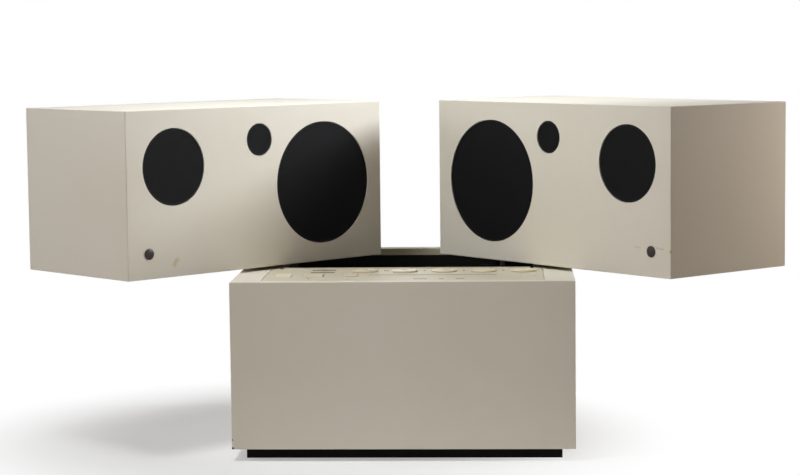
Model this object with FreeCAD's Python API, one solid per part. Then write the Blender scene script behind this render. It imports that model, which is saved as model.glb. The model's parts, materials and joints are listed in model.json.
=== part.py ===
import FreeCAD, Part
import math
import os

# Radiogram: a cube that opens. The lower half holds the radio, the amplifier and a sunken record deck.
# The upper half is two loudspeakers that swivel outwards on pins near the rear corners of the base.
# X points right, Y to the rear and Z up, with the origin on the floor under the middle of the base.
# Lengths are millimetres and angles are degrees. A "back" value is a distance behind the front face.

# Whole object
base_height = 250.0
plinth_height = 18.0
swivel_gap = 5.3
closed_gap = 0.3
left_open_angle = 43.3
right_open_angle = 42.5
cut_overrun = 1.0
moving_clearance = 0.4
running_clearance = 0.05
seat_clearance = 0.2

# Base cabinet, its bottom board and the plinth
wall_board = 18.0
top_board = 18.0
edge_round = 1.2
bottom_thickness = 10.0
bottom_rebate = 9.0
plinth_side_setback = 19.0
plinth_front_setback = 28.0
plinth_rear_setback = 19.0
plinth_batten = 16.0
bottom_slot_count = 9
bottom_slot_width = 7.0
bottom_slot_length = 110.0
bottom_slot_pitch = 20.0

# Rear wall: vent slots and the connection panel
vent_count = 11
vent_width = 6.0
vent_height = 64.0
vent_pitch = 13.0
vent_gap = 12.0
rear_opening_width = 220.0
rear_opening_height = 76.0
rear_opening_inset = 57.0
socket_plate_thickness = 2.0
socket_plate_border = 9.0
socket_plate_lift = 5.0
socket_radius = 9.5
socket_bore = 6.5
socket_depth = 5.0
socket_recess = 2.0
socket_margin = 27.0
socket_inlet_room = 85.0
socket_count = 5
inlet_width = 34.0
inlet_height = 26.0
inlet_wall = 3.0
inlet_depth = 14.0

# Swivel pins, their bushes and the blocks that hold them
pivot_side_inset = 14.0
pivot_rear_inset = 28.0
pin_radius = 7.0
pin_bore = 3.5
pin_reach_down = 50.0
pin_reach_up = 54.0
bush_wall = 3.5
collar_radius = 12.5
corner_block_wall = 14.0
corner_block_height = 60.0

# Control panel let into the base top, with the record well behind it
side_rim = 46.0
front_rim = 17.0
rear_rim = 17.0
panel_thickness = 3.0
panel_gap = 1.2
panel_ledge = 8.0
panel_corner = 3.0
well_side_room = 1.5
well_rear_room = 0.5
well_corner = 6.0
flange_depth = 11.0
flange_thickness = 2.0
lip_height = 2.0

# Round controls
knob_count = 5
knob_meter_gap = 26.0
knob_side_gap = 9.0
knob_front_gap = 21.0
knob_rear_gap = 21.0
knob_radius = 20.0
knob_height = 2.4
knob_dish_depth = 1.0
knob_rim = 2.2
knob_edge = 0.6
knob_finger_radius = 5.0
knob_finger_share = 0.52
stem_radius = 3.0
pot_radius = 12.0
pot_height = 12.0
pot_bush_radius = 5.0
control_depth = 25.0
stem_reach = 6.0

# Push keys and the mains rocker
key_front_gap = 46.5
key_depth = 27.0
key_height = 2.6
flush_key_height = 0.5
key_edge = 0.8
key_skirt = 9.0
key_stem_radius = 2.5
key_stem_reach = 8.0
key_travel = 2.0
play_key_gap = 19.0
play_key_width = 30.0
band_key_gap = 30.5
band_key_width = 21.0
mono_key_gap = 11.5
mono_key_width = 21.0
switch_wall = 2.5
rocker_side_gap = 15.5
rocker_width = 23.0
rocker_radius = 14.0
rocker_axis_drop = 5.0
rocker_face = 6.6
rocker_foot = 6.0
rocker_tilt = 6.0
rocker_pin_radius = 1.5
rocker_pin_reach = 2.0

# Tuning dial and meter
dial_left_gap = 17.0
dial_right_gap = 37.5
dial_front_gap = 43.0
dial_opening = 32.0
dial_cover = 4.0
dial_depth = 16.0
tray_wall = 2.0
rail_room = 12.0
rail_radius = 1.5
window_thickness = 2.0
window_sink = 0.3
carriage_width = 10.0
carriage_radius = 3.4
pointer_width = 1.6
pointer_thickness = 1.4
pointer_inset = 5.0
meter_side_gap = 64.0
meter_width = 37.0
meter_length = 46.0
meter_rear_gap = 10.0
meter_depth = 18.0
needle_length = 34.0
needle_width = 1.2
needle_thickness = 0.8
needle_inset = 6.0
needle_level = 8.0
needle_hub_radius = 3.0
needle_rest_angle = 28.0
staff_radius = 1.5

# Well liner and deck plate
liner_wall = 2.5
liner_ledge = 26.0
liner_rail = 24.0
deck_thickness = 3.0
deck_margin = 4.0
deck_corner = 8.0
mount_radius = 9.0
mount_waist = 6.5
mount_height = 8.0
mount_inset = 13.0

# Platter and its drive
platter_radius = 146.0
platter_side_gap = 13.0
platter_end_gap = 8.0
platter_arm_gap = 20.0
platter_lift = 4.0
platter_height = 18.0
platter_web = 5.0
platter_rim = 6.0
platter_edge = 1.5
hub_radius = 70.0
hub_wall = 4.0
boss_radius = 14.0
shaft_radius = 5.0
shaft_length = 24.0
spindle_radius = 3.6
spindle_height = 9.0
mat_thickness = 3.0
mat_inset = 3.0
mat_groove_count = 3
mat_groove_width = 6.0
mat_groove_depth = 0.8
bearing_wall = 5.0
bearing_floor = 4.0
bearing_flange_radius = 20.0
bearing_flange = 3.0
pulley_offset = 30.0
pulley_angle = 135.0
pulley_radius = 6.0
pulley_height = 10.0
pulley_flange = 1.2
motor_radius = 24.0
motor_height = 36.0
motor_shaft_radius = 1.6
motor_shaft_reach = 16.0
motor_hole_radius = 9.0
belt_thickness = 0.8
belt_width = 5.0
belt_gap = 0.3

# Tonearm, its base and its lift
arm_rear_room = 8.0
arm_front_room = 25.0
arm_headroom = 1.3
record_clearance = 2.4
arm_tube_radius = 4.0
arm_tube_bore = 2.6
arm_hub_width = 13.0
arm_hub_length = 20.0
arm_hub_height = 14.0
arm_hub_clearance = 4.9
arm_axle_radius = 1.5
arm_stub = 44.0
arm_stub_radius = 4.0
foot_thickness = 4.0
foot_front = 52.0
foot_rear = 22.0
foot_left = 20.0
foot_cue_room = 14.0
foot_side_room = 7.0
foot_corner = 6.0
pillar_radius = 13.0
yoke_disc = 4.0
yoke_lift = 0.3
yoke_cheek = 4.0
yoke_cheek_depth = 14.0
yoke_spindle_radius = 4.0
yoke_spindle_length = 20.0
counterweight_radius = 12.5
counterweight_start = 20.0
counterweight_length = 20.0
counterweight_edge = 1.5
shell_width = 18.0
shell_length = 46.0
shell_thickness = 4.0
shell_offset_angle = 23.0
shell_overlap = 12.0
cartridge_width = 16.0
cartridge_length = 26.0
cartridge_height = 7.0
stylus_back = 5.0
stylus_radius = 1.6
stylus_length = 2.8
stylus_tip_share = 0.25
rest_distance_share = 0.563
rest_radius = 5.0
rest_base_radius = 9.0
rest_base_height = 3.0
rest_saddle_width = 14.0
rest_saddle_depth = 8.0
rest_saddle_height = 6.0
rest_stop = 3.0
lift_radius = 46.0
lift_width = 3.0
lift_thickness = 3.0
lift_start_angle = -66.0
lift_sweep = 76.0
lift_rod_radius = 2.0
lift_guide_wall = 2.5
lift_guide_height = 16.0
lift_gap = 0.5
cue_forward = 26.0
cue_sideways = 28.0
cue_level = 10.0
cue_hub_radius = 4.5
cue_hub_width = 7.0
cue_axle_radius = 2.0
cue_cheek = 3.0
cue_length = 34.0
cue_bar = 3.5
cue_paddle_radius = 6.0
cue_paddle_thickness = 3.5

# Speed knob on the deck
speed_radius = 13.0
speed_corner_gap = 10.0
speed_height = 11.0
speed_grip = 4.0
speed_grip_height = 5.0
speed_shaft_radius = 3.0
speed_shaft_reach = 6.0

# Electronics
transformer_side_gap = 33.0
transformer_core = 84.0
transformer_stack = 40.0
transformer_core_height = 70.0
transformer_coil_width = 50.0
transformer_coil_bulge = 14.0
transformer_coil_margin = 12.0
transformer_foot = 12.0
transformer_foot_thickness = 3.0
amplifier_gap = 41.0
amplifier_side_gap = 42.0
amplifier_rear_gap = 87.0
amplifier_depth = 150.0
circuit_thickness = 1.6
standoff_height = 8.0
standoff_radius = 4.0
standoff_inset = 8.0
capacitor_count = 2
capacitor_radius = 16.0
capacitor_height = 55.0
capacitor_pitch = 40.0
capacitor_inset = 30.0
sink_height = 56.0
sink_base = 6.0
sink_depth = 30.0
sink_fin = 2.5
sink_fin_count = 18
sink_margin = 12.0
control_board_margin = 9.0
control_board_rear_gap = 8.0
tuner_can_width = 70.0
tuner_can_depth = 46.0
tuner_can_height = 24.0
filter_can_side = 11.0
filter_can_height = 15.0
filter_can_pitch = 20.0
filter_can_count = 5

# Loudspeakers
speaker_wall = 16.0
baffle_thickness = 18.0
grille_recess = 1.0
grille_thickness = 2.0
grille_gap = 0.6
woofer_radius = 96.2
woofer_border = 28.55
woofer_end_gap = 28.3
woofer_ledge = 6.0
woofer_flange = 8.0
woofer_depth = 70.0
woofer_magnet_radius = 52.0
woofer_magnet_height = 24.0
middle_radius = 58.0
middle_end_gap = 30.0
middle_top_gap = 27.5
middle_ledge = 5.0
middle_flange = 7.0
middle_depth = 40.0
middle_magnet_radius = 40.0
middle_magnet_height = 18.0
tweeter_radius = 25.2
tweeter_top_gap = 26.8
tweeter_woofer_gap = 9.1
tweeter_ledge = 4.0
tweeter_flange = 7.0
tweeter_depth = 14.0
tweeter_magnet_radius = 26.0
tweeter_magnet_height = 16.0
driver_flange_thickness = 4.0
surround_width_share = 0.13
surround_rise_share = 0.7
cap_share = 0.34
cap_rise_share = 0.35
bumper_radius = 8.4
bumper_proud = 2.9
bumper_end_inset = 39.0
bumper_bottom_inset = 37.5
bumper_stem_radius = 4.0
bumper_stem_length = 9.0
bumper_side = 0.9

vec = FreeCAD.Vector
along_x = vec(1, 0, 0)
along_y = vec(0, 1, 0)
along_z = vec(0, 0, 1)
origin = vec(0, 0, 0)

# Places on the control panel, as distances behind the front face of the base
panel_front_back = front_rim
key_back = panel_front_back + key_front_gap + key_depth / 2
dial_front_back = panel_front_back + dial_front_gap
dial_rear_back = dial_front_back + dial_opening
knob_back = dial_rear_back + knob_front_gap + knob_radius
well_front_back = knob_back + knob_radius + knob_rear_gap
meter_rear_back = well_front_back - meter_rear_gap
meter_front_back = meter_rear_back - meter_length

# The record well goes round the platter and the tonearm, the panel round the well and the cabinet round the panel.
# With the sizes above the cabinet comes out square, so that the closed object is a cube on its plinth.
foot_right = cue_sideways + foot_cue_room
well_half = platter_radius + (platter_side_gap + platter_arm_gap + foot_left + foot_right + foot_side_room) / 2
well_rear_back = well_front_back + (platter_radius + platter_end_gap) * 2
panel_half = well_half + well_side_room + liner_wall + panel_ledge
panel_rear_back = well_rear_back + well_rear_room + liner_wall + panel_ledge
half_width = panel_half + side_rim
cube_depth = panel_rear_back + rear_rim
half_depth = cube_depth / 2
speaker_height = (woofer_radius + woofer_border) * 2
baffle_slit = bumper_proud + closed_gap

# The stylus clears a record on the mat, and the counterweight stays below the speakers
arm_level = (platter_lift + platter_height + mat_thickness + record_clearance + stylus_length + cartridge_height
             + shell_thickness + arm_tube_radius)
pillar_height = arm_level - arm_hub_height / 2 - arm_hub_clearance - yoke_disc - yoke_lift
deck_drop = arm_level + counterweight_radius + arm_headroom

# Levels and places that follow from the sizes
base_bottom = plinth_height
base_top = base_bottom + base_height
floor_top = base_bottom + bottom_thickness
panel_under = base_top - panel_thickness
top_board_under = base_top - top_board
inner_half = half_width - wall_board
inner_depth = half_depth - wall_board
speaker_bottom = base_top + swivel_gap
speaker_top = speaker_bottom + speaker_height
flange_bottom = base_top - flange_depth
deck_top = base_top - deck_drop
deck_under = deck_top - deck_thickness
ledge_top = deck_under - mount_height
ledge_under = ledge_top - liner_wall
controls_under = panel_under - control_depth
platter_under = deck_top + platter_lift
platter_top = platter_under + platter_height
mat_top = platter_top + mat_thickness
arm_axis_level = deck_top + arm_level
pivot_x = half_width - pivot_side_inset
pivot_y = half_depth - pivot_rear_inset
bush_radius = pin_radius + running_clearance + bush_wall
corner_reach = bush_radius + corner_block_wall


def place(back):
    """Y of a point that lies this far behind the front face of the base."""
    return back - half_depth


well_front = place(well_front_back)
well_rear = place(well_rear_back)
well_middle = (well_front + well_rear) / 2
platter_x = platter_side_gap + platter_radius - well_half
arm_x = well_half - foot_side_room - foot_right
arm_y = well_rear - arm_rear_room - arm_stub
arm_length = arm_y - well_front - arm_front_room
rest_distance = arm_length * rest_distance_share
speed_x = speed_corner_gap + speed_radius - well_half
speed_y = well_front + speed_corner_gap + speed_radius
pulley_distance = hub_radius + pulley_offset
pulley_x = platter_x + pulley_distance * math.cos(math.radians(pulley_angle))
pulley_y = well_middle + pulley_distance * math.sin(math.radians(pulley_angle))
rocker_x = rocker_side_gap + rocker_width / 2 - panel_half
play_key_x = rocker_x + (rocker_width + play_key_width) / 2 + play_key_gap
band_key_x = play_key_x + (play_key_width + band_key_width) / 2 + band_key_gap
mono_key_x = panel_half - mono_key_gap - mono_key_width / 2
dial_left = band_key_x + band_key_width / 2 + dial_left_gap
dial_right = mono_key_x - mono_key_width / 2 - dial_right_gap
dial_x = (dial_left + dial_right) / 2
dial_width = dial_right - dial_left
meter_x = meter_side_gap + meter_width / 2 - panel_half
knob_first_x = meter_x + meter_width / 2 + knob_meter_gap + knob_radius
knob_last_x = panel_half - knob_side_gap - knob_radius
knob_pitch = (knob_last_x - knob_first_x) / (knob_count - 1)
knob_places = [knob_first_x + knob_pitch * step for step in range(knob_count)]
key_places = {
    "play_key": (play_key_x, play_key_width, key_height),
    "band_key": (band_key_x, band_key_width, key_height),
    "mono_key": (mono_key_x, mono_key_width, flush_key_height),
}
rear_level = floor_top + socket_plate_lift + socket_plate_border + rear_opening_height / 2
rear_opening_x = inner_half - rear_opening_inset - rear_opening_width / 2
vent_span = vent_pitch * (vent_count - 1) + vent_width
vent_middle_x = rear_opening_x - (rear_opening_width + vent_span) / 2 - vent_gap
socket_pitch = (rear_opening_width - socket_margin - socket_inlet_room) / (socket_count - 1)
transformer_x = transformer_side_gap + transformer_foot + transformer_core / 2 - inner_half
amplifier_left = transformer_x + transformer_core / 2 + transformer_foot + amplifier_gap
amplifier_right = inner_half - amplifier_side_gap
amplifier_x = (amplifier_left + amplifier_right) / 2
amplifier_width = amplifier_right - amplifier_left
amplifier_y = inner_depth - amplifier_rear_gap - amplifier_depth / 2


def block(x0, x1, y0, y1, z0, z1):
    """Box between two corners."""
    return Part.makeBox(x1 - x0, y1 - y0, z1 - z0, vec(x0, y0, z0))


def rod(radius, z0, z1, x=0, y=0):
    """Upright cylinder between two levels."""
    return Part.makeCylinder(radius, z1 - z0, vec(x, y, z0))


def drilled(shape, radius, z0, z1, x, y):
    """The shape with an upright hole between two levels, run a little past both."""
    return shape.cut(rod(radius, z0 - cut_overrun, z1 + cut_overrun, x, y))


def upright_edges(shape):
    """Straight edges of a shape that run along Z."""
    found = []
    for edge in shape.Edges:
        ends = edge.Vertexes
        if len(ends) == 2 and edge.Curve.TypeId == "Part::GeomLine":
            if abs(edge.Curve.Direction.z) > 1 - Part.Precision.angular():
                found.append(edge)
    return found


def rounded_block(x0, x1, y0, y1, z0, z1, corner):
    """Box with rounded upright edges."""
    box = block(x0, x1, y0, y1, z0, z1)
    return box.makeFillet(corner, upright_edges(box))


def turned(points, centre, axis=along_z):
    """Solid of revolution. Points are (radius, height) pairs, and a third value marks the way through an arc."""
    edges = []
    corners = [p for p in points if len(p) == 2]
    ring = corners + corners[:1]
    bends = {}
    count = 0
    for p in points:
        if len(p) == 2:
            count += 1
        else:
            bends[count] = p
    for index in range(len(corners)):
        start = vec(ring[index][0], 0, ring[index][1])
        end = vec(ring[index + 1][0], 0, ring[index + 1][1])
        if index + 1 in bends:
            through = bends[index + 1]
            middle = vec(through[0], 0, through[1])
            edges.append(Part.Arc(start, middle, end).toShape())
        else:
            edges.append(Part.LineSegment(start, end).toShape())
    solid = Part.Face(Part.Wire(edges)).revolve(origin, along_z, 360)
    solid.Placement = FreeCAD.Placement(centre, FreeCAD.Rotation(along_z, axis))
    return solid


def dome_bend(radius, edge, rise):
    """Way point of a spherical cap that starts at this radius and edge height and tops out on the axis."""
    ball = (radius ** 2 + rise ** 2) / (2 * rise)
    half_turn = math.asin(radius / ball) / 2
    return abs(ball * math.sin(half_turn)), edge + rise - ball * (1 - math.cos(half_turn)), "arc"


def fused(shapes):
    """One solid from several that touch or overlap."""
    return shapes[0].multiFuse(shapes[1:]).removeSplitter()


def make_base_cabinet():
    """Lacquered carcass: four walls and a top with the panel opening, open underneath for the bottom board."""
    outer = block(-half_width, half_width, -half_depth, half_depth, base_bottom, base_top)
    outer = outer.makeFillet(edge_round, outer.Edges)
    hollow = block(-inner_half, inner_half, -inner_depth, inner_depth, base_bottom - cut_overrun, top_board_under)
    blocks = []
    for side in (-1, 1):
        edge_x = side * inner_half
        inner_x = side * (pivot_x - corner_reach)
        blocks.append(block(min(edge_x, inner_x), max(edge_x, inner_x), pivot_y - corner_reach,
                            inner_depth, top_board_under - corner_block_height, top_board_under))
    shell = outer.cut(hollow.cut(Part.makeCompound(blocks)))
    rebate_x = inner_half + bottom_rebate
    rebate_y = inner_depth + bottom_rebate
    rebate = block(-rebate_x, rebate_x, -rebate_y, rebate_y, base_bottom - cut_overrun, floor_top)
    recess_half = panel_half + panel_gap
    recess = rounded_block(-recess_half, recess_half, place(panel_front_back) - panel_gap,
                           place(panel_rear_back) + panel_gap, panel_under, base_top + cut_overrun, panel_corner)
    mouth_half = recess_half - panel_ledge
    mouth = block(-mouth_half, mouth_half, place(panel_front_back) - panel_gap + panel_ledge,
                  place(panel_rear_back) + panel_gap - panel_ledge, top_board_under - cut_overrun, base_top)
    cuts = [rebate, recess, mouth]
    for step in range(vent_count):
        slot_x = vent_middle_x + (step - (vent_count - 1) / 2) * vent_pitch
        cuts.append(block(slot_x - vent_width / 2, slot_x + vent_width / 2, inner_depth - cut_overrun,
                          half_depth + cut_overrun, rear_level - vent_height / 2, rear_level + vent_height / 2))
    cuts.append(block(rear_opening_x - rear_opening_width / 2, rear_opening_x + rear_opening_width / 2,
                      inner_depth - cut_overrun, half_depth + cut_overrun,
                      rear_level - rear_opening_height / 2, rear_level + rear_opening_height / 2))
    for side in (-1, 1):
        cuts.append(rod(bush_radius, base_top - pin_reach_down, base_top + cut_overrun, side * pivot_x, pivot_y))
        cuts.append(rod(pin_bore, top_board_under - corner_block_height - cut_overrun, base_top,
                        side * pivot_x, pivot_y))
    return shell.cut(cuts)


def make_bottom_board():
    """Board let into the rebate under the cabinet, with two rows of air slots."""
    half_x = inner_half + bottom_rebate - seat_clearance
    half_y = inner_depth + bottom_rebate - seat_clearance
    board = block(-half_x, half_x, -half_y, half_y, base_bottom, floor_top)
    slots = []
    for row in (-1, 1):
        for step in range(bottom_slot_count):
            x = (step - (bottom_slot_count - 1) / 2) * bottom_slot_pitch
            middle = row * bottom_slot_length
            slots.append(rounded_block(x - bottom_slot_width / 2, x + bottom_slot_width / 2,
                                       middle - bottom_slot_length / 2, middle + bottom_slot_length / 2,
                                       base_bottom - cut_overrun, floor_top + cut_overrun,
                                       bottom_slot_width / 2 - seat_clearance))
    return board.cut(slots)


def make_plinth():
    """Black batten frame, set back under the cabinet."""
    side = half_width - plinth_side_setback
    front = plinth_front_setback - half_depth
    rear = half_depth - plinth_rear_setback
    outer = block(-side, side, front, rear, 0, plinth_height)
    inner = block(-side + plinth_batten, side - plinth_batten, front + plinth_batten, rear - plinth_batten,
                  -cut_overrun, plinth_height + cut_overrun)
    return outer.cut(inner)


def make_socket_panel():
    """Connection plate behind the rear opening, with round sockets and a mains inlet."""
    level = rear_level
    plate_half = rear_opening_width / 2 + socket_plate_border
    plate_rise = rear_opening_height / 2 + socket_plate_border
    face = inner_depth
    back = face - socket_plate_thickness
    solids = [block(rear_opening_x - plate_half, rear_opening_x + plate_half, back, face,
                    level - plate_rise, level + plate_rise)]
    bores = []
    for step in range(socket_count):
        x = rear_opening_x + rear_opening_width / 2 - socket_margin - socket_pitch * step
        solids.append(Part.makeCylinder(socket_radius, socket_depth, vec(x, face, level), along_y))
        bores.append(Part.makeCylinder(socket_bore, socket_recess + cut_overrun,
                                       vec(x, face + socket_depth - socket_recess, level), along_y))
    inlet_x = rear_opening_x - rear_opening_width / 2 + inlet_width
    solids.append(block(inlet_x - inlet_width / 2, inlet_x + inlet_width / 2, back - inlet_depth,
                        face + socket_depth, level - inlet_height / 2, level + inlet_height / 2))
    bores.append(block(inlet_x - inlet_width / 2 + inlet_wall, inlet_x + inlet_width / 2 - inlet_wall,
                       back - inlet_depth + inlet_wall, face + socket_depth + cut_overrun,
                       level - inlet_height / 2 + inlet_wall, level + inlet_height / 2 - inlet_wall))
    return fused(solids).cut(bores)


def make_pivot_bushes():
    """Two flanged bushes let into the rear corners of the base. Their flanges carry the speakers."""
    bushes = []
    for side in (-1, 1):
        x = side * pivot_x
        body = rod(bush_radius, base_top - pin_reach_down, base_top, x, pivot_y)
        flange = rod(collar_radius, base_top, base_top + swivel_gap / 2, x, pivot_y)
        bush = fused([body, flange])
        bore = rod(pin_radius + running_clearance, base_top - pin_reach_down - cut_overrun,
                   base_top + swivel_gap, x, pivot_y)
        bushes.append(bush.cut(bore))
    return Part.makeCompound(bushes)


def key_window(x, width, depth, z0, z1, room):
    """Cutter for a rectangular key, wider than the key by the given room all round."""
    return block(x - width / 2 - room, x + width / 2 + room, place(key_back) - depth / 2 - room,
                 place(key_back) + depth / 2 + room, z0, z1)


def make_top_panel():
    """Metal panel: a control field in front, a frame round the record well and a turned-down flange."""
    plate = rounded_block(-panel_half, panel_half, place(panel_front_back), place(panel_rear_back), panel_under,
                          base_top, panel_corner)
    collar = rounded_block(-well_half - flange_thickness, well_half + flange_thickness,
                           well_front - flange_thickness, well_rear + flange_thickness,
                           flange_bottom, base_top, well_corner + flange_thickness)
    lip = block(-well_half + well_corner, well_half - well_corner, well_front - flange_thickness, well_front,
                panel_under, base_top + lip_height)
    panel = fused([plate, collar, lip])
    well = rounded_block(-well_half, well_half, well_front, well_rear, flange_bottom - cut_overrun,
                         base_top + lip_height + cut_overrun, well_corner)
    low = panel_under - cut_overrun
    high = base_top + cut_overrun
    cuts = [well]
    for x in knob_places:
        cuts.append(rod(stem_radius + moving_clearance, low, high, x, place(knob_back)))
    for x, width, height in key_places.values():
        cuts.append(key_window(x, width, key_depth, low, high, moving_clearance))
    cuts.append(key_window(rocker_x, rocker_width, rocker_radius * 2, low, high, moving_clearance))
    cuts.append(block(dial_x - dial_width / 2, dial_x + dial_width / 2, place(dial_front_back),
                      place(dial_rear_back), low, high))
    cuts.append(block(meter_x - meter_width / 2, meter_x + meter_width / 2, place(meter_front_back),
                      place(meter_rear_back), low, high))
    return panel.cut(cuts)


def make_knob(x):
    """Flat knob with a dished face, one finger hollow and a stem that runs in its control."""
    y = place(knob_back)
    under = base_top + moving_clearance
    top = under + knob_height
    dish = knob_radius - knob_rim
    profile = [
        (0, under - panel_thickness - moving_clearance - control_depth + stem_reach),
        (stem_radius, under - panel_thickness - moving_clearance - control_depth + stem_reach),
        (stem_radius, under),
        (knob_radius - knob_edge, under),
        (knob_radius, under + knob_edge),
        (knob_radius, top - knob_edge),
        (knob_radius - knob_edge, top),
        (dish, top),
        dome_bend(dish, top, -knob_dish_depth),
        (0, top - knob_dish_depth),
    ]
    knob = turned(profile, vec(x, y, 0))
    hollow = rod(knob_finger_radius, top - knob_dish_depth - knob_edge / 2, top + cut_overrun,
                 x, y + knob_radius * knob_finger_share)
    return knob.cut(hollow)


def make_control_pots():
    """Bodies of the five rotary controls, hung from the panel by their threaded bushes."""
    pots = []
    y = place(knob_back)
    for x in knob_places:
        body = rod(pot_radius, controls_under, controls_under + pot_height, x, y)
        bush = rod(pot_bush_radius, controls_under + pot_height, panel_under, x, y)
        bore = rod(stem_radius + running_clearance, controls_under + stem_reach - moving_clearance,
                   panel_under + cut_overrun, x, y)
        pots.append(fused([body, bush]).cut(bore))
    return Part.makeCompound(pots)


def make_key(x, width, height):
    """Push key: a cap through the panel with a stem into its switch."""
    top = base_top + height
    cap = key_window(x, width, key_depth, top - key_skirt, top, 0)
    crown = [edge for edge in cap.Edges if min(v.Z for v in edge.Vertexes) > top - key_edge]
    cap = cap.makeFillet(key_edge, crown)
    stem = rod(key_stem_radius, controls_under + key_stem_reach, top - key_skirt, x, place(key_back))
    return fused([cap, stem])


def make_rocker():
    """Mains rocker: a drum segment on cross pins, with its flat face tilted towards the front."""
    axis = vec(rocker_x, place(key_back), base_top - rocker_axis_drop)
    start = axis - along_x * (rocker_width / 2)
    drum = Part.makeCylinder(rocker_radius, rocker_width, start, along_x)
    reach = rocker_radius + cut_overrun
    above = block(-rocker_width, rocker_width, -reach, reach, rocker_face, reach)
    above.Placement = FreeCAD.Placement(axis, FreeCAD.Rotation(along_x, rocker_tilt))
    below = block(-rocker_width, rocker_width, -reach, reach, -reach, -rocker_foot)
    below.Placement = FreeCAD.Placement(axis, FreeCAD.Rotation(along_x, 0))
    pin_half = rocker_width / 2 + moving_clearance + rocker_pin_reach
    pin = Part.makeCylinder(rocker_pin_radius, pin_half * 2, axis - along_x * pin_half, along_x)
    return fused([drum.cut(above).cut(below), pin])


def make_key_switches():
    """Housings under the panel that guide the keys, and the rocker's housing with its pin holes."""
    switches = []
    y = place(key_back)
    for x, width, height in key_places.values():
        body = key_window(x, width, key_depth, controls_under, panel_under, switch_wall)
        pocket_floor = base_top + height - key_skirt - key_travel - moving_clearance
        pocket = key_window(x, width, key_depth, pocket_floor, panel_under + cut_overrun, moving_clearance)
        bore_floor = controls_under + key_stem_reach - key_travel - moving_clearance
        bore = rod(key_stem_radius + running_clearance, bore_floor, pocket_floor + cut_overrun, x, y)
        switches.append(body.cut(pocket).cut(bore))
    depth = rocker_radius * 2
    body = key_window(rocker_x, rocker_width, depth, controls_under, panel_under, switch_wall)
    axis_level = base_top - rocker_axis_drop
    pocket = key_window(rocker_x, rocker_width, depth, axis_level - rocker_radius - moving_clearance,
                        panel_under + cut_overrun, moving_clearance)
    hole_half = rocker_width / 2 + moving_clearance + rocker_pin_reach + running_clearance
    hole = Part.makeCylinder(rocker_pin_radius + running_clearance, hole_half * 2,
                             vec(rocker_x - hole_half, y, axis_level), along_x)
    switches.append(body.cut(pocket).cut(hole))
    return Part.makeCompound(switches)


tray_front = place(dial_front_back) - dial_cover
tray_rear = place(dial_rear_back) + rail_room
tray_half = dial_width / 2 + dial_cover + seat_clearance
tray_floor = panel_under - dial_depth + tray_wall
rail_y = place(dial_rear_back) + rail_room / 2
rail_level = (tray_floor + panel_under) / 2


def make_dial_tray():
    """Scale plate with raised walls under the dial opening, and the rod that the pointer slides on."""
    outer = block(dial_x - tray_half - tray_wall, dial_x + tray_half + tray_wall, tray_front - tray_wall,
                  tray_rear + tray_wall, panel_under - dial_depth, panel_under)
    inner = block(dial_x - tray_half, dial_x + tray_half, tray_front, tray_rear, tray_floor,
                  panel_under + cut_overrun)
    rail_half = tray_half + tray_wall / 2
    rail = Part.makeCylinder(rail_radius, rail_half * 2, vec(dial_x - rail_half, rail_y, rail_level), along_x)
    return fused([outer.cut(inner), rail])


def make_dial_pointer():
    """Carriage on the rod, with a slim hand reaching forward over the scale."""
    carriage = Part.makeCylinder(carriage_radius, carriage_width,
                                 vec(dial_x - carriage_width / 2, rail_y, rail_level), along_x)
    front = place(dial_front_back) + pointer_inset
    hand = block(dial_x - pointer_width / 2, dial_x + pointer_width / 2, front, rail_y,
                 rail_level - pointer_thickness / 2, rail_level + pointer_thickness / 2)
    bore = Part.makeCylinder(rail_radius + running_clearance, carriage_width + cut_overrun * 2,
                             vec(dial_x - carriage_width / 2 - cut_overrun, rail_y, rail_level), along_x)
    return fused([carriage, hand]).cut(bore)


def make_lens(plate, x, width, front, rear):
    """Clear insert: a plate under the panel with a raised pane that fills the opening."""
    pane = block(x - width / 2 + seat_clearance, x + width / 2 - seat_clearance, front + seat_clearance,
                 rear - seat_clearance, panel_under - window_thickness, base_top - window_sink)
    return fused([plate, pane])


def make_dial_windows():
    """Stepped lenses of the dial and the meter, pressed up into their openings."""
    dial = block(dial_x - tray_half + seat_clearance, dial_x + tray_half - seat_clearance,
                 tray_front + seat_clearance, place(dial_rear_back) + dial_cover / 2,
                 panel_under - window_thickness, panel_under)
    meter = block(meter_x - meter_width / 2 - tray_wall, meter_x + meter_width / 2 + tray_wall,
                  place(meter_front_back) - tray_wall, place(meter_rear_back) + tray_wall,
                  panel_under - window_thickness, panel_under)
    dial_lens = make_lens(dial, dial_x, dial_width, place(dial_front_back), place(dial_rear_back))
    meter_lens = make_lens(meter, meter_x, meter_width, place(meter_front_back), place(meter_rear_back))
    return Part.makeCompound([dial_lens, meter_lens])


needle_y = place(meter_front_back) + needle_inset
meter_floor = panel_under - meter_depth + tray_wall


def make_meter_case():
    """Open case of the tuning meter, with a bearing hole for the needle's staff in its floor."""
    room = tray_wall + seat_clearance
    half = meter_width / 2 + room
    front = place(meter_front_back) - room
    rear = place(meter_rear_back) + room
    outer = block(meter_x - half - tray_wall, meter_x + half + tray_wall, front - tray_wall, rear + tray_wall,
                  panel_under - meter_depth, panel_under)
    inner = block(meter_x - half, meter_x + half, front, rear, meter_floor, panel_under + cut_overrun)
    case = outer.cut(inner)
    return drilled(case, staff_radius + running_clearance, panel_under - meter_depth, meter_floor,
                   meter_x, needle_y)


def make_meter_needle():
    """Needle on a short staff, lying at the left end of its scale."""
    level = meter_floor + needle_level
    staff = rod(staff_radius, panel_under - meter_depth, level, meter_x, needle_y)
    hub = rod(needle_hub_radius, level - needle_thickness * 2, level, meter_x, needle_y)
    hand = block(meter_x - needle_width / 2, meter_x + needle_width / 2, needle_y, needle_y + needle_length,
                 level - needle_thickness, level)
    hand = hand.rotated(vec(meter_x, needle_y, 0), along_z, needle_rest_angle)
    return fused([staff, hub, hand])


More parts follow.
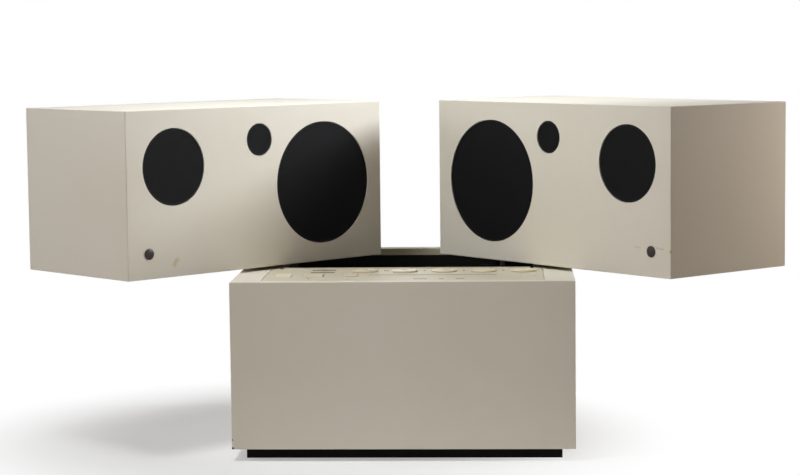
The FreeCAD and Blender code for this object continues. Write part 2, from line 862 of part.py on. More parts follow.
def make_well_liner():
    """Black liner of the record well: four walls, side rails under the top board and a ledge for the deck."""
    half = well_half
    outer = rounded_block(-half - liner_wall, half + liner_wall, well_front - liner_wall,
                          well_rear + liner_wall, ledge_under, flange_bottom, well_corner + liner_wall)
    room = rounded_block(-half, half, well_front, well_rear, ledge_top, flange_bottom + cut_overrun, well_corner)
    drop = rounded_block(-half + liner_ledge, half - liner_ledge, well_front + liner_ledge,
                         well_rear - liner_ledge, ledge_under - cut_overrun, ledge_top + cut_overrun, well_corner)
    rails = []
    for side in (-1, 1):
        inner_x = side * (half + liner_wall / 2)
        outer_x = side * (half + liner_rail)
        rails.append(block(min(inner_x, outer_x), max(inner_x, outer_x), well_front + deck_corner,
                           pivot_y - corner_reach - deck_margin, top_board_under - liner_wall,
                           top_board_under))
    return fused([outer] + rails).cut([room, drop])


def make_deck_plate():
    """Pressed plate of the record deck, with holes for bearing, motor shaft, arm and speed knob."""
    half = well_half - deck_margin
    plate = rounded_block(-half, half, well_front + deck_margin, well_rear - deck_margin, deck_under, deck_top,
                          deck_corner)
    holes = [
        (shaft_radius + running_clearance + bearing_wall, platter_x, well_middle),
        (motor_hole_radius, pulley_x, pulley_y),
        (speed_shaft_radius + running_clearance, speed_x, speed_y),
    ]
    for radius, x, y in holes:
        plate = drilled(plate, radius, deck_under, deck_top, x, y)
    return plate


def make_deck_mounts():
    """Four waisted rubber mounts between the liner's ledge and the deck plate."""
    mounts = []
    profile = [
        (0, ledge_top),
        (mount_radius, ledge_top),
        (mount_waist, (ledge_top + deck_under) / 2, "arc"),
        (mount_radius, deck_under),
        (0, deck_under),
    ]
    for x in (mount_inset - well_half, well_half - mount_inset):
        for y in (well_front + mount_inset, well_rear - mount_inset):
            mounts.append(turned(profile, vec(x, y, 0)))
    return Part.makeCompound(mounts)


def make_platter():
    """Cast platter: rim, web, drive hub under it, bearing shaft and record spindle."""
    shaft_end = platter_under - shaft_length
    ceiling = platter_top - platter_web
    tip = mat_top + spindle_height
    profile = [
        (0, shaft_end),
        (shaft_radius, shaft_end),
        (shaft_radius, platter_under),
        (boss_radius, platter_under),
        (boss_radius, ceiling),
        (hub_radius - hub_wall, ceiling),
        (hub_radius - hub_wall, platter_under),
        (hub_radius, platter_under),
        (hub_radius, ceiling),
        (platter_radius - platter_rim, ceiling),
        (platter_radius - platter_rim, platter_under),
        (platter_radius - platter_edge, platter_under),
        (platter_radius, platter_under + platter_edge),
        (platter_radius, platter_top - platter_edge),
        (platter_radius - platter_edge, platter_top),
        (spindle_radius, platter_top),
        (spindle_radius, tip - spindle_radius),
        dome_bend(spindle_radius, tip - spindle_radius, spindle_radius),
        (0, tip),
    ]
    return turned(profile, vec(platter_x, well_middle, 0))


def make_platter_mat():
    """Rubber mat with a few wide ring grooves."""
    outer = platter_radius - mat_inset
    inner = spindle_radius + seat_clearance
    mat = rod(outer, platter_top, mat_top, platter_x, well_middle)
    mat = drilled(mat, inner, platter_top, mat_top, platter_x, well_middle)
    for step in range(mat_groove_count):
        radius = outer * (step + 1) / (mat_groove_count + 1)
        groove = rod(radius + mat_groove_width / 2, mat_top - mat_groove_depth, mat_top + cut_overrun,
                     platter_x, well_middle)
        core = rod(radius - mat_groove_width / 2, mat_top - mat_groove_depth - cut_overrun,
                   mat_top + cut_overrun * 2, platter_x, well_middle)
        mat = mat.cut(groove.cut(core))
    return mat


def make_platter_bearing():
    """Bearing housing through the deck, with a flange under the plate and a closed floor."""
    outer = shaft_radius + running_clearance + bearing_wall
    shaft_end = platter_under - shaft_length
    low = shaft_end - seat_clearance - bearing_floor
    body = rod(outer, low, deck_top, platter_x, well_middle)
    flange = rod(bearing_flange_radius, deck_under - bearing_flange, deck_under, platter_x, well_middle)
    bore = rod(shaft_radius + running_clearance, shaft_end - seat_clearance, deck_top + cut_overrun,
               platter_x, well_middle)
    return fused([body, flange]).cut(bore)


def make_drive_motor():
    """Round motor hung under the deck, with a bore for the pulley's shaft."""
    body = rod(motor_radius, deck_under - motor_height, deck_under, pulley_x, pulley_y)
    rim = [edge for edge in body.Edges if edge.Vertexes[0].Z < deck_under - motor_height / 2 and edge.isClosed()]
    body = body.makeChamfer(deck_thickness, rim)
    bore = rod(motor_shaft_radius + running_clearance, deck_under - motor_shaft_reach - seat_clearance,
               deck_under + cut_overrun, pulley_x, pulley_y)
    return body.cut(bore)


def make_motor_pulley():
    """Flanged pulley on its shaft."""
    low = platter_under - seat_clearance
    top = low + pulley_height
    end = deck_under - motor_shaft_reach
    edge = pulley_radius + pulley_flange
    profile = [
        (0, end),
        (motor_shaft_radius, end),
        (motor_shaft_radius, low),
        (edge, low),
        (edge, low + pulley_flange),
        (pulley_radius, low + pulley_flange),
        (pulley_radius, top - pulley_flange),
        (edge, top - pulley_flange),
        (edge, top),
        (0, top),
    ]
    return turned(profile, vec(pulley_x, pulley_y, 0))


def belt_loop(extra, z0, z1):
    """Solid inside a belt line that lies the given distance outside the hub and the pulley."""
    big = hub_radius + extra
    small = pulley_radius + extra
    lean = math.acos((big - small) / pulley_distance)
    corners = []
    for radius, shift in ((big, 0), (small, pulley_distance)):
        for sign in (1, -1):
            corners.append(vec(shift + radius * math.cos(lean), sign * radius * math.sin(lean), z0))
    big_up, big_down, small_up, small_down = corners
    edges = [
        Part.Arc(big_up, vec(-big, 0, z0), big_down).toShape(),
        Part.LineSegment(big_down, small_down).toShape(),
        Part.Arc(small_down, vec(pulley_distance + small, 0, z0), small_up).toShape(),
        Part.LineSegment(small_up, big_up).toShape(),
    ]
    return Part.Face(Part.Wire(edges)).extrude(along_z * (z1 - z0))


def make_drive_belt():
    """Flat rubber belt round the platter's hub and the pulley."""
    low = platter_under - seat_clearance + (pulley_height - belt_width) / 2
    high = low + belt_width
    belt = belt_loop(belt_gap + belt_thickness, low, high)
    belt = belt.cut(belt_loop(belt_gap, low - cut_overrun, high + cut_overrun))
    belt.Placement = FreeCAD.Placement(vec(platter_x, well_middle, 0), FreeCAD.Rotation(along_z, pulley_angle))
    return belt


def arm_point(angle, radius):
    """Point at this angle and distance from the tonearm's upright axis."""
    turn = math.radians(angle)
    return arm_x + radius * math.cos(turn), arm_y + radius * math.sin(turn)


lift_rod_x, lift_rod_y = arm_point(lift_start_angle, lift_radius)
cue_x = arm_x + cue_sideways
cue_y = arm_y - cue_forward
cue_axis_level = deck_top + foot_thickness + cue_level
cue_cheek_start = cue_hub_width / 2 + moving_clearance


def make_arm_base():
    """Foot plate on the deck with the tonearm's pillar, the lift's guide and the cue lever's cheeks."""
    foot_top = deck_top + foot_thickness
    pillar_top = deck_top + pillar_height
    foot = rounded_block(arm_x - foot_left, arm_x + foot_right, arm_y - foot_front, arm_y + foot_rear,
                         deck_top, foot_top, foot_corner)
    pillar = rod(pillar_radius, deck_top, pillar_top, arm_x, arm_y)
    guide = rod(lift_rod_radius + lift_guide_wall, deck_top, deck_top + lift_guide_height, lift_rod_x, lift_rod_y)
    solids = [foot, pillar, guide]
    for side in (-1, 1):
        near = cue_x + side * cue_cheek_start
        far = near + side * cue_cheek
        solids.append(block(min(near, far), max(near, far), cue_y - cue_hub_radius, cue_y + cue_hub_radius,
                            foot_top - cut_overrun, cue_axis_level + cue_hub_radius))
    base = fused(solids)
    spindle_end = pillar_top + yoke_lift - yoke_spindle_length
    base = base.cut(rod(yoke_spindle_radius + running_clearance, spindle_end - seat_clearance,
                        pillar_top + cut_overrun, arm_x, arm_y))
    base = drilled(base, lift_rod_radius + running_clearance, foot_top, deck_top + lift_guide_height,
                   lift_rod_x, lift_rod_y)
    axle_half = cue_cheek_start + cue_cheek + cut_overrun
    hole = Part.makeCylinder(cue_axle_radius + running_clearance, axle_half * 2,
                             vec(cue_x - axle_half, cue_y, cue_axis_level), along_x)
    return base.cut(hole)


def make_arm_yoke():
    """Fork that turns on the pillar and holds the arm's cross axle between two cheeks."""
    low = deck_top + pillar_height + yoke_lift
    high = low + yoke_disc
    inner = arm_hub_width / 2 + moving_clearance
    outer = inner + yoke_cheek
    disc = rod(outer + yoke_cheek / 2, low, high, arm_x, arm_y)
    spindle = rod(yoke_spindle_radius, low - yoke_spindle_length, low, arm_x, arm_y)
    solids = [disc, spindle]
    for side in (-1, 1):
        near = arm_x + side * inner
        far = arm_x + side * outer
        cheek = block(min(near, far), max(near, far), arm_y - yoke_cheek_depth / 2, arm_y + yoke_cheek_depth / 2,
                      low, arm_axis_level)
        crown = Part.makeCylinder(yoke_cheek_depth / 2, yoke_cheek, vec(min(near, far), arm_y, arm_axis_level),
                                  along_x)
        solids += [cheek, crown]
    yoke = fused(solids)
    hole = Part.makeCylinder(arm_axle_radius + running_clearance, (outer + cut_overrun) * 2,
                             vec(arm_x - outer - cut_overrun, arm_y, arm_axis_level), along_x)
    return yoke.cut(hole)


shell_turn = FreeCAD.Rotation(along_z, -shell_offset_angle)
tip_y = arm_y - arm_length
shell_rear = shell_length - stylus_back
tube_end_y = tip_y + (shell_rear - shell_overlap) * math.cos(math.radians(shell_offset_angle))
tube_end_shift = (shell_rear - shell_overlap) * math.sin(math.radians(shell_offset_angle))


def make_arm_tube():
    """Straight arm tube with its pivot block, cross axle and the stub for the counterweight."""
    tube = Part.makeCylinder(arm_tube_radius, arm_y - tube_end_y, vec(arm_x, tube_end_y, arm_axis_level), along_y)
    stub = Part.makeCylinder(arm_stub_radius, arm_stub, vec(arm_x, arm_y, arm_axis_level), along_y)
    hub = block(arm_x - arm_hub_width / 2, arm_x + arm_hub_width / 2, arm_y - arm_hub_length / 2,
                arm_y + arm_hub_length / 2, arm_axis_level - arm_hub_height / 2,
                arm_axis_level + arm_hub_height / 2)
    hub = hub.makeFillet(arm_axle_radius, hub.Edges)
    axle_half = arm_hub_width / 2 + moving_clearance + yoke_cheek
    axle = Part.makeCylinder(arm_axle_radius, axle_half * 2, vec(arm_x - axle_half, arm_y, arm_axis_level), along_x)
    bore = Part.makeCylinder(arm_tube_bore, arm_y - tube_end_y - arm_hub_length,
                             vec(arm_x, tube_end_y, arm_axis_level), along_y)
    return fused([tube, stub, hub, axle]).cut(bore)


def make_headshell():
    """Angled shell under the front of the tube, with finger lift, cartridge and stylus."""
    shell_top = arm_axis_level - arm_tube_radius
    shell_low = shell_top - shell_thickness
    body_low = shell_low - cartridge_height
    half = shell_width / 2
    plate = rounded_block(-half, half, -stylus_back, shell_rear, shell_low, shell_top, shell_thickness)
    lift = block(half - shell_thickness, half * 2, 0, shell_thickness, shell_low, shell_low + shell_thickness / 2)
    body = block(-cartridge_width / 2, cartridge_width / 2, -stylus_back / 2, cartridge_length - stylus_back / 2,
                 body_low, shell_low)
    stylus = Part.makeCone(stylus_radius * stylus_tip_share, stylus_radius, stylus_length,
                           vec(0, 0, body_low - stylus_length))
    shell = fused([plate, lift, body, stylus])
    shell.Placement = FreeCAD.Placement(vec(arm_x - tube_end_shift, tip_y, 0), shell_turn)
    return shell


def make_counterweight():
    """Turned weight on the rear stub of the arm."""
    start = vec(arm_x, arm_y + counterweight_start, arm_axis_level)
    end = counterweight_length
    profile = [
        (arm_stub_radius, 0),
        (counterweight_radius - counterweight_edge, 0),
        (counterweight_radius, counterweight_edge),
        (counterweight_radius, end - counterweight_edge),
        (counterweight_radius - counterweight_edge, end),
        (arm_stub_radius, end),
    ]
    return turned(profile, start, along_y)


def make_arm_rest():
    """Post with a saddle under the parked arm and a stop on the outer side."""
    y = arm_y - rest_distance
    saddle_top = arm_axis_level - arm_tube_radius - moving_clearance
    foot = rod(rest_base_radius, deck_top, deck_top + rest_base_height, arm_x, y)
    post = rod(rest_radius, deck_top, saddle_top - rest_saddle_height / 2, arm_x, y)
    half = rest_saddle_width / 2
    saddle = block(arm_x - half, arm_x + half, y - rest_saddle_depth / 2, y + rest_saddle_depth / 2,
                   saddle_top - rest_saddle_height, saddle_top)
    inner = arm_x + arm_tube_radius + moving_clearance
    stop = block(inner, inner + rest_stop, y - rest_saddle_depth / 2, y + rest_saddle_depth / 2,
                 saddle_top - rest_saddle_height, arm_axis_level)
    return fused([foot, post, saddle, stop])


def make_lift_bar():
    """Curved lift bar under the arm, on a rod that slides in the base's guide."""
    top = arm_axis_level - arm_tube_radius - lift_gap
    low = top - lift_thickness
    outer = Part.makeCylinder(lift_radius + lift_width / 2, lift_thickness, vec(arm_x, arm_y, low), along_z,
                              lift_sweep)
    inner = rod(lift_radius - lift_width / 2, low - cut_overrun, top + cut_overrun, arm_x, arm_y)
    arc = outer.rotated(vec(arm_x, arm_y, 0), along_z, lift_start_angle - lift_sweep).cut(inner)
    post = rod(lift_rod_radius, deck_top + foot_thickness, top, lift_rod_x, lift_rod_y)
    return fused([arc, post])


def make_cue_lever():
    """Lever on a cross axle beside the pillar, with a round paddle towards the front."""
    hub = Part.makeCylinder(cue_hub_radius, cue_hub_width,
                            vec(cue_x - cue_hub_width / 2, cue_y, cue_axis_level), along_x)
    axle_half = cue_cheek_start + cue_cheek
    axle = Part.makeCylinder(cue_axle_radius, axle_half * 2, vec(cue_x - axle_half, cue_y, cue_axis_level), along_x)
    bar = block(cue_x - cue_bar / 2, cue_x + cue_bar / 2, cue_y - cue_length, cue_y,
                cue_axis_level - cue_bar / 2, cue_axis_level + cue_bar / 2)
    paddle = rod(cue_paddle_radius, cue_axis_level - cue_paddle_thickness / 2,
                 cue_axis_level + cue_paddle_thickness / 2, cue_x, cue_y - cue_length)
    return fused([hub, axle, bar, paddle])


def make_speed_knob():
    """Speed knob with a raised grip bar and a shaft through the deck."""
    y = speed_y
    low = deck_top + moving_clearance
    top = low + speed_height
    body_top = top - speed_grip_height
    body = rod(speed_radius, low, body_top, speed_x, y)
    grip = block(speed_x - speed_grip / 2, speed_x + speed_grip / 2, y - speed_radius, y + speed_radius,
                 low, top).common(rod(speed_radius, low, top, speed_x, y))
    shaft = rod(speed_shaft_radius, deck_under - speed_shaft_reach, low, speed_x, y)
    return fused([body, grip, shaft])


def make_power_transformer():
    """Laminated core with its coil bulging from the window, on two mounting feet."""
    y = amplifier_y
    half = transformer_core / 2
    half_stack = transformer_stack / 2
    top = floor_top + transformer_core_height
    core = block(transformer_x - half, transformer_x + half, y - half_stack, y + half_stack, floor_top, top)
    coil_half = transformer_coil_width / 2
    coil_reach = half_stack + transformer_coil_bulge
    coil = rounded_block(transformer_x - coil_half, transformer_x + coil_half, y - coil_reach, y + coil_reach,
                         floor_top + transformer_coil_margin, top - transformer_coil_margin, transformer_coil_margin)
    feet = block(transformer_x - half - transformer_foot, transformer_x + half + transformer_foot,
                 y - half_stack, y + half_stack, floor_top, floor_top + transformer_foot_thickness)
    return fused([core, coil, feet])


def make_amplifier_board():
    """Power amplifier board on standoffs, with two reservoir capacitors."""
    y = amplifier_y
    half_x = amplifier_width / 2
    half_y = amplifier_depth / 2
    low = floor_top + standoff_height
    top = low + circuit_thickness
    solids = [block(amplifier_left, amplifier_right, y - half_y, y + half_y, low, top)]
    for dx in (standoff_inset - half_x, half_x - standoff_inset):
        for dy in (standoff_inset - half_y, half_y - standoff_inset):
            solids.append(rod(standoff_radius, floor_top, top, amplifier_x + dx, y + dy))
    for step in range(capacitor_count):
        x = amplifier_left + capacitor_inset + capacitor_pitch * step
        solids.append(rod(capacitor_radius, low, top + capacitor_height, x, y - half_y + capacitor_inset))
    return fused(solids)


def make_heat_sink():
    """Finned heat sink standing along the rear edge of the amplifier board."""
    y = amplifier_y + amplifier_depth / 2
    half = amplifier_width / 2 - standoff_inset * 2 - sink_margin
    low = floor_top + standoff_height + circuit_thickness
    top = low + sink_height
    front = y - sink_depth - sink_margin
    solids = [block(amplifier_x - half, amplifier_x + half, front, front + sink_base, low, top)]
    for step in range(sink_fin_count):
        x = amplifier_x - half + (half * 2 - sink_fin) * step / (sink_fin_count - 1)
        solids.append(block(x, x + sink_fin, front, front + sink_depth, low, top))
    return fused(solids)


def make_control_board():
    """Circuit board under the controls, with the tuner can and filter cans below it."""
    half = panel_half - control_board_margin
    low = controls_under - circuit_thickness
    front = place(dial_front_back)
    rear = well_front - control_board_rear_gap
    middle = (front + rear) / 2
    solids = [block(-half, half, front, rear, low, controls_under)]
    solids.append(block(dial_x - tuner_can_width / 2, dial_x + tuner_can_width / 2, middle - tuner_can_depth / 2,
                        middle + tuner_can_depth / 2, low - tuner_can_height, low))
    for step in range(filter_can_count):
        x = meter_x + filter_can_pitch * step
        solids.append(block(x, x + filter_can_side, middle - filter_can_side / 2, middle + filter_can_side / 2,
                            low - filter_can_height, low))
    return fused(solids)


# Drivers in the closed left speaker: radius, Y and Z of the middle, ledge, flange, depth, magnet radius and height
woofer_level = speaker_bottom + speaker_height / 2
middle_level = speaker_top - middle_top_gap - middle_radius
tweeter_level = speaker_top - tweeter_top_gap - tweeter_radius
woofer_y = half_depth - woofer_end_gap - woofer_radius
tweeter_y = woofer_y - woofer_radius - tweeter_woofer_gap - tweeter_radius
middle_y = middle_end_gap + middle_radius - half_depth
baffle_front = -baffle_slit
baffle_rear = baffle_front - baffle_thickness
grille_seat = baffle_front - grille_recess - grille_thickness
drivers = {
    "woofer": (woofer_radius, woofer_y, woofer_level, woofer_ledge, woofer_flange, woofer_depth,
               woofer_magnet_radius, woofer_magnet_height),
    "midrange": (middle_radius, middle_y, middle_level, middle_ledge, middle_flange, middle_depth,
                 middle_magnet_radius, middle_magnet_height),
    "tweeter": (tweeter_radius, tweeter_y, tweeter_level, tweeter_ledge, tweeter_flange, tweeter_depth,
                tweeter_magnet_radius, tweeter_magnet_height),
}


def closed_box():
    """Outer form of the closed left speaker, with every edge eased."""
    box = block(-half_width, baffle_front, -half_depth, half_depth, speaker_bottom, speaker_top)
    return box.makeFillet(edge_round, box.Edges)


def make_speaker_cabinet():
    """Carcass behind the baffle: back, ends, top and bottom, with a block round the swivel pin."""
    body = closed_box().common(block(-half_width, baffle_rear, -half_depth, half_depth, speaker_bottom, speaker_top))
    hollow = block(speaker_wall - half_width, baffle_rear + cut_overrun, speaker_wall - half_depth,
                   half_depth - speaker_wall, speaker_bottom + speaker_wall, speaker_top - speaker_wall)
    corner = block(-half_width, corner_reach - pivot_x, pivot_y - corner_reach, half_depth,
                   speaker_bottom, speaker_bottom + corner_block_height)
    body = body.cut(hollow.cut(corner))
    body = body.cut(rod(pin_radius, speaker_bottom - cut_overrun, speaker_bottom + pin_reach_up, -pivot_x, pivot_y))
    return body.cut(rod(pin_bore, speaker_bottom, speaker_bottom + corner_block_height + cut_overrun,
                        -pivot_x, pivot_y))


def make_baffle():
    """Front board with stepped openings for the three drivers and a hole for the bumper's stem."""
    board = closed_box().common(block(baffle_rear, baffle_front, -half_depth, half_depth, speaker_bottom,
                                      speaker_top))
    cuts = []
    for radius, y, level, ledge, flange, depth, magnet, magnet_height in drivers.values():
        cuts.append(Part.makeCylinder(radius, baffle_front - grille_seat + cut_overrun, vec(grille_seat, y, level),
                                      along_x))
        cuts.append(Part.makeCylinder(radius - ledge, baffle_thickness + cut_overrun * 2,
                                      vec(baffle_rear - cut_overrun, y, level), along_x))
    cuts.append(Part.makeCylinder(bumper_stem_radius, bumper_stem_length + cut_overrun,
                                  vec(baffle_front - bumper_stem_length, bumper_end_inset - half_depth,
                                      speaker_bottom + bumper_bottom_inset), along_x))
    return board.cut(cuts)


def make_driver(radius, y, level, ledge, flange, depth, magnet, magnet_height):
    """Driver turned about its axis: flange against the baffle, rolled surround, cone, dust cap and magnet."""
    rim = radius + flange
    opening = radius - ledge - moving_clearance
    cone = opening * (1 - surround_width_share)
    cap = cone * cap_share
    roll = (opening - cone) / 2
    cap_floor = -depth / 2
    rise = cap * cap_rise_share
    profile = [
        (0, -depth - magnet_height),
        (magnet, -depth - magnet_height),
        (magnet, -depth),
        (rim - flange - ledge, -driver_flange_thickness),
        (rim, -driver_flange_thickness),
        (rim, 0),
        (opening, 0),
        (opening - roll, roll * surround_rise_share, "arc"),
        (cone, 0),
        (cap, cap_floor),
        dome_bend(cap, cap_floor, rise),
        (0, cap_floor + rise),
    ]
    return turned(profile, vec(baffle_rear, y, level), along_x)


def make_grilles():
    """Three fine flat grilles set just below the face of the baffle."""
    discs = []
    for radius, y, level, ledge, flange, depth, magnet, magnet_height in drivers.values():
        discs.append(Part.makeCylinder(radius - grille_gap, grille_thickness, vec(grille_seat, y, level), along_x))
    return Part.makeCompound(discs)


def make_bumper():
    """Domed rubber button near the free lower corner, where the two closed baffles meet."""
    profile = [
        (0, -bumper_stem_length),
        (bumper_stem_radius, -bumper_stem_length),
        (bumper_stem_radius, 0),
        (bumper_radius, 0),
        (bumper_radius, bumper_side),
        dome_bend(bumper_radius, bumper_side, bumper_proud - bumper_side),
        (0, bumper_proud),
    ]
    spot = vec(baffle_front, bumper_end_inset - half_depth, speaker_bottom + bumper_bottom_inset)
    return turned(profile, spot, along_x)


def make_pivot_pin():
    """Swivel pin with a collar that rides on the bush's flange, bored through for the speaker's lead."""
    collar_low = speaker_bottom - swivel_gap / 2
    profile = [
        (pin_bore, base_top - pin_reach_down),
        (pin_radius, base_top - pin_reach_down),
        (pin_radius, collar_low),
        (collar_radius, collar_low),
        (collar_radius, speaker_bottom),
        (pin_radius, speaker_bottom),
        (pin_radius, speaker_bottom + pin_reach_up),
        (pin_bore, speaker_bottom + pin_reach_up),
    ]
    return turned(profile, vec(-pivot_x, pivot_y, 0))


def make_speaker():
    """All pieces of the left speaker in its closed place."""
    pieces = {
        "cabinet": make_speaker_cabinet(),
        "baffle": make_baffle(),
        "grilles": make_grilles(),
        "bumper": make_bumper(),
        "pivot_pin": make_pivot_pin(),
    }
    for name, sizes in drivers.items():
        pieces[name] = make_driver(*sizes)
    return pieces


def make_nodes():
    """Every piece at rest, by its node name."""
    nodes = {
        "base_cabinet": make_base_cabinet(),
        "bottom_board": make_bottom_board(),
        "plinth": make_plinth(),
        "socket_panel": make_socket_panel(),
        "pivot_bushes": make_pivot_bushes(),
        "top_panel": make_top_panel(),
        "control_pots": make_control_pots(),
        "key_switches": make_key_switches(),
        "power_rocker": make_rocker(),
        "dial_tray": make_dial_tray(),
        "dial_pointer": make_dial_pointer(),
        "dial_windows": make_dial_windows(),
        "meter_case": make_meter_case(),
        "meter_needle": make_meter_needle(),
        "well_liner": make_well_liner(),
        "deck_plate": make_deck_plate(),
        "deck_mounts": make_deck_mounts(),
        "platter": make_platter(),
        "platter_mat": make_platter_mat(),
        "platter_bearing": make_platter_bearing(),
        "drive_motor": make_drive_motor(),
        "motor_pulley": make_motor_pulley(),
        "drive_belt": make_drive_belt(),
        "arm_base": make_arm_base(),
        "arm_yoke": make_arm_yoke(),
        "arm_tube": make_arm_tube(),
        "headshell": make_headshell(),
        "counterweight": make_counterweight(),
        "arm_rest": make_arm_rest(),
        "lift_bar": make_lift_bar(),
        "cue_lever": make_cue_lever(),
        "speed_knob": make_speed_knob(),
        "power_transformer": make_power_transformer(),
        "amplifier_board": make_amplifier_board(),
        "heat_sink": make_heat_sink(),
        "control_board": make_control_board(),
    }
    knob_names = ("tuning_knob", "volume_knob", "balance_knob", "bass_knob", "treble_knob")
    for name, x in zip(knob_names, knob_places):
        nodes[name] = make_knob(x)
    for name, (x, width, height) in key_places.items():
        nodes[name] = make_key(x, width, height)
    left_pivot = vec(-pivot_x, pivot_y, 0)
    right_pivot = vec(pivot_x, pivot_y, 0)
    for name, piece in make_speaker().items():
        nodes["left_" + name] = piece.rotated(left_pivot, along_z, -left_open_angle)
        mirrored = piece.mirror(origin, along_x)
        nodes["right_" + name] = mirrored.rotated(right_pivot, along_z, right_open_angle)
    return nodes


def main():
    os.makedirs("parts", exist_ok=True)
    for name, shape in make_nodes().items():
        if not shape.isValid():
            print("not valid:", name)
        solids = shape.Solids
        print(name, len(solids), "solids", round(shape.Volume / 1000, 1), "cm3")
        shape.exportStep(os.path.join("parts", name + ".step"))


main()
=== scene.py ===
import bpy
import bmesh
import json
import math
from mathutils import Matrix, Quaternion, Vector


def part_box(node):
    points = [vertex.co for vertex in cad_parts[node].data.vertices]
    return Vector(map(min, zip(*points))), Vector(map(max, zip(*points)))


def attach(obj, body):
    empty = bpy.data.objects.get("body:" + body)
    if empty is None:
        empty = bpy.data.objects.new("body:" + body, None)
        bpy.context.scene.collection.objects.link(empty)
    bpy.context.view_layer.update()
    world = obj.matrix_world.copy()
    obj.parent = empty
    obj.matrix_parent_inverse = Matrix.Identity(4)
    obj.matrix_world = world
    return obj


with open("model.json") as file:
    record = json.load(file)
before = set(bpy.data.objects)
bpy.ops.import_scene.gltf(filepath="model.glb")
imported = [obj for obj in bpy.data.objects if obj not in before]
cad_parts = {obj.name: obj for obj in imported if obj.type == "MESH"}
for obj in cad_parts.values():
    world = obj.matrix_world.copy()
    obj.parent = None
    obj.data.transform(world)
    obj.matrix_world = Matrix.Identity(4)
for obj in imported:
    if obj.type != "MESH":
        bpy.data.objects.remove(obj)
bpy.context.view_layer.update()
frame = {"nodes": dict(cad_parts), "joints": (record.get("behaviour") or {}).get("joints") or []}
nodes = frame["nodes"]
mm = 0.001
sides = ("left", "right")
drivers = ("woofer", "midrange", "tweeter")
knobs = ("tuning", "volume", "balance", "bass", "treble")
print("frame loaded with", len(nodes), "nodes")


def jointNamed(name):
    return next(j for j in frame["joints"] if j["name"] == name)


# a speaker is easiest to work on shut, so this turns its rest place to the shut one
def turnToShut(side):
    joint = jointNamed(side + "_swivel")
    pivot = Vector(joint["pos_m"])
    angle = math.radians(joint["range_deg"][0]) * joint["axis"][2]
    return Matrix.Translation(pivot) @ Matrix.Rotation(angle, 4, "Z") @ Matrix.Translation(-pivot)


def shutBox(turn, names):  # corners of the box round some pieces of a shut speaker
    corners = [turn @ v.co for name in names for v in nodes[name].data.vertices]
    low = Vector([min(c[axis] for c in corners) for axis in range(3)])
    high = Vector([max(c[axis] for c in corners) for axis in range(3)])
    return low, high


class Wire:  # a shader socket that does sums
    def __init__(self, finish, socket):
        self.finish = finish
        self.socket = socket

    def __add__(self, other):
        return self.finish.sums("ADD", self, other)

    def __sub__(self, other):
        return self.finish.sums("SUBTRACT", self, other)

    def __rsub__(self, other):
        return self.finish.sums("SUBTRACT", other, self)

    def __mul__(self, other):
        return self.finish.sums("MULTIPLY", self, other)

    __radd__ = __add__
    __rmul__ = __mul__

    def least(self, other):
        return self.finish.sums("MINIMUM", self, other)

    def most(self, other):
        return self.finish.sums("MAXIMUM", self, other)

    def size(self):
        return self.finish.sums("ABSOLUTE", self, 0)

    def wave(self):
        return self.finish.sums("SINE", self, 0)

    def fade(self, start, end):  # 0 at start, 1 at end, eased
        settings = {"interpolation_type": "SMOOTHSTEP"}
        return self.finish.node("MapRange", settings, {"Value": self, "From Min": start, "From Max": end})

    def parts(self):
        return [self.finish.node("SeparateXYZ", {}, {"Vector": self}, out=axis) for axis in "XYZ"]


class Finish:  # one material and its nodes
    def __init__(self, name, **shaderValues):
        self.material = bpy.data.materials.new(name)
        self.material.use_nodes = True
        self.tree = self.material.node_tree
        self.tree.nodes.clear()
        self.shader = self.tree.nodes.new("ShaderNodeBsdfPrincipled")
        self.output = self.tree.nodes.new("ShaderNodeOutputMaterial")
        self.tree.links.new(self.shader.outputs[0], self.output.inputs[0])
        self.feed(**shaderValues)

    def node(self, kind, settings, inputs, out=0):
        made = self.tree.nodes.new("ShaderNode" + kind)
        for key, value in settings.items():
            setattr(made, key, value)
        for key, value in inputs.items():
            self.plug(made.inputs[key], value)
        return Wire(self, made.outputs[out])

    def plug(self, socket, value):
        if isinstance(value, Wire):
            self.tree.links.new(value.socket, socket)
        else:
            socket.default_value = value

    def sums(self, operation, first, second):
        return self.node("Math", {"operation": operation}, {0: first, 1: second})

    def feed(self, **values):  # baseColor feeds Base Color, and so on
        for key, value in values.items():
            words = "".join(" " + c if c.isupper() else c for c in key).title()
            self.plug(self.shader.inputs[words.replace("Ior", "IOR")], value)

    def blend(self, share, first, second):  # the surface goes from the first shader to the second
        both = self.node("MixShader", {}, {0: share, 1: first, 2: second})
        self.tree.links.new(both.socket, self.output.inputs[0])

    def coat(self):  # the main shader, for a blend
        return Wire(self, self.shader.outputs[0])

    def coords(self, turn=None):
        place = self.node("TexCoord", {}, {}, out="Object")
        if turn is None:
            return place
        inputs = {"Vector": place, "Location": turn.to_translation(), "Rotation": turn.to_euler()}
        return self.node("Mapping", {}, inputs)

    def stretch(self, place, scale):
        return self.node("Mapping", {}, {"Vector": place, "Scale": scale})

    def noise(self, place, scale, detail=2.0, roughness=0.5):
        inputs = {"Vector": place, "Scale": scale, "Detail": detail, "Roughness": roughness}
        return self.node("TexNoise", {}, inputs)

    def cells(self, place, scale):
        return self.node("TexVoronoi", {}, {"Vector": place, "Scale": scale, "Randomness": 1.0})

    def mix(self, first, second, share):
        return self.node("Mix", {"data_type": "RGBA"}, {0: share, 6: first, 7: second}, out=2)

    def distance(self, place, point):
        return self.node("VectorMath", {"operation": "DISTANCE"}, {0: place, 1: point}, out="Value")

    def bump(self, height, strength, depth):
        return self.node("Bump", {}, {"Height": height, "Strength": strength, "Distance": depth})


def rgb(red, green, blue):  # screen colour, 0 to 255, as a linear one
    def linear(value):
        value /= 255
        return value / 12.92 if value <= 0.04045 else ((value + 0.055) / 1.055) ** 2.4
    return (linear(red), linear(green), linear(blue), 1)


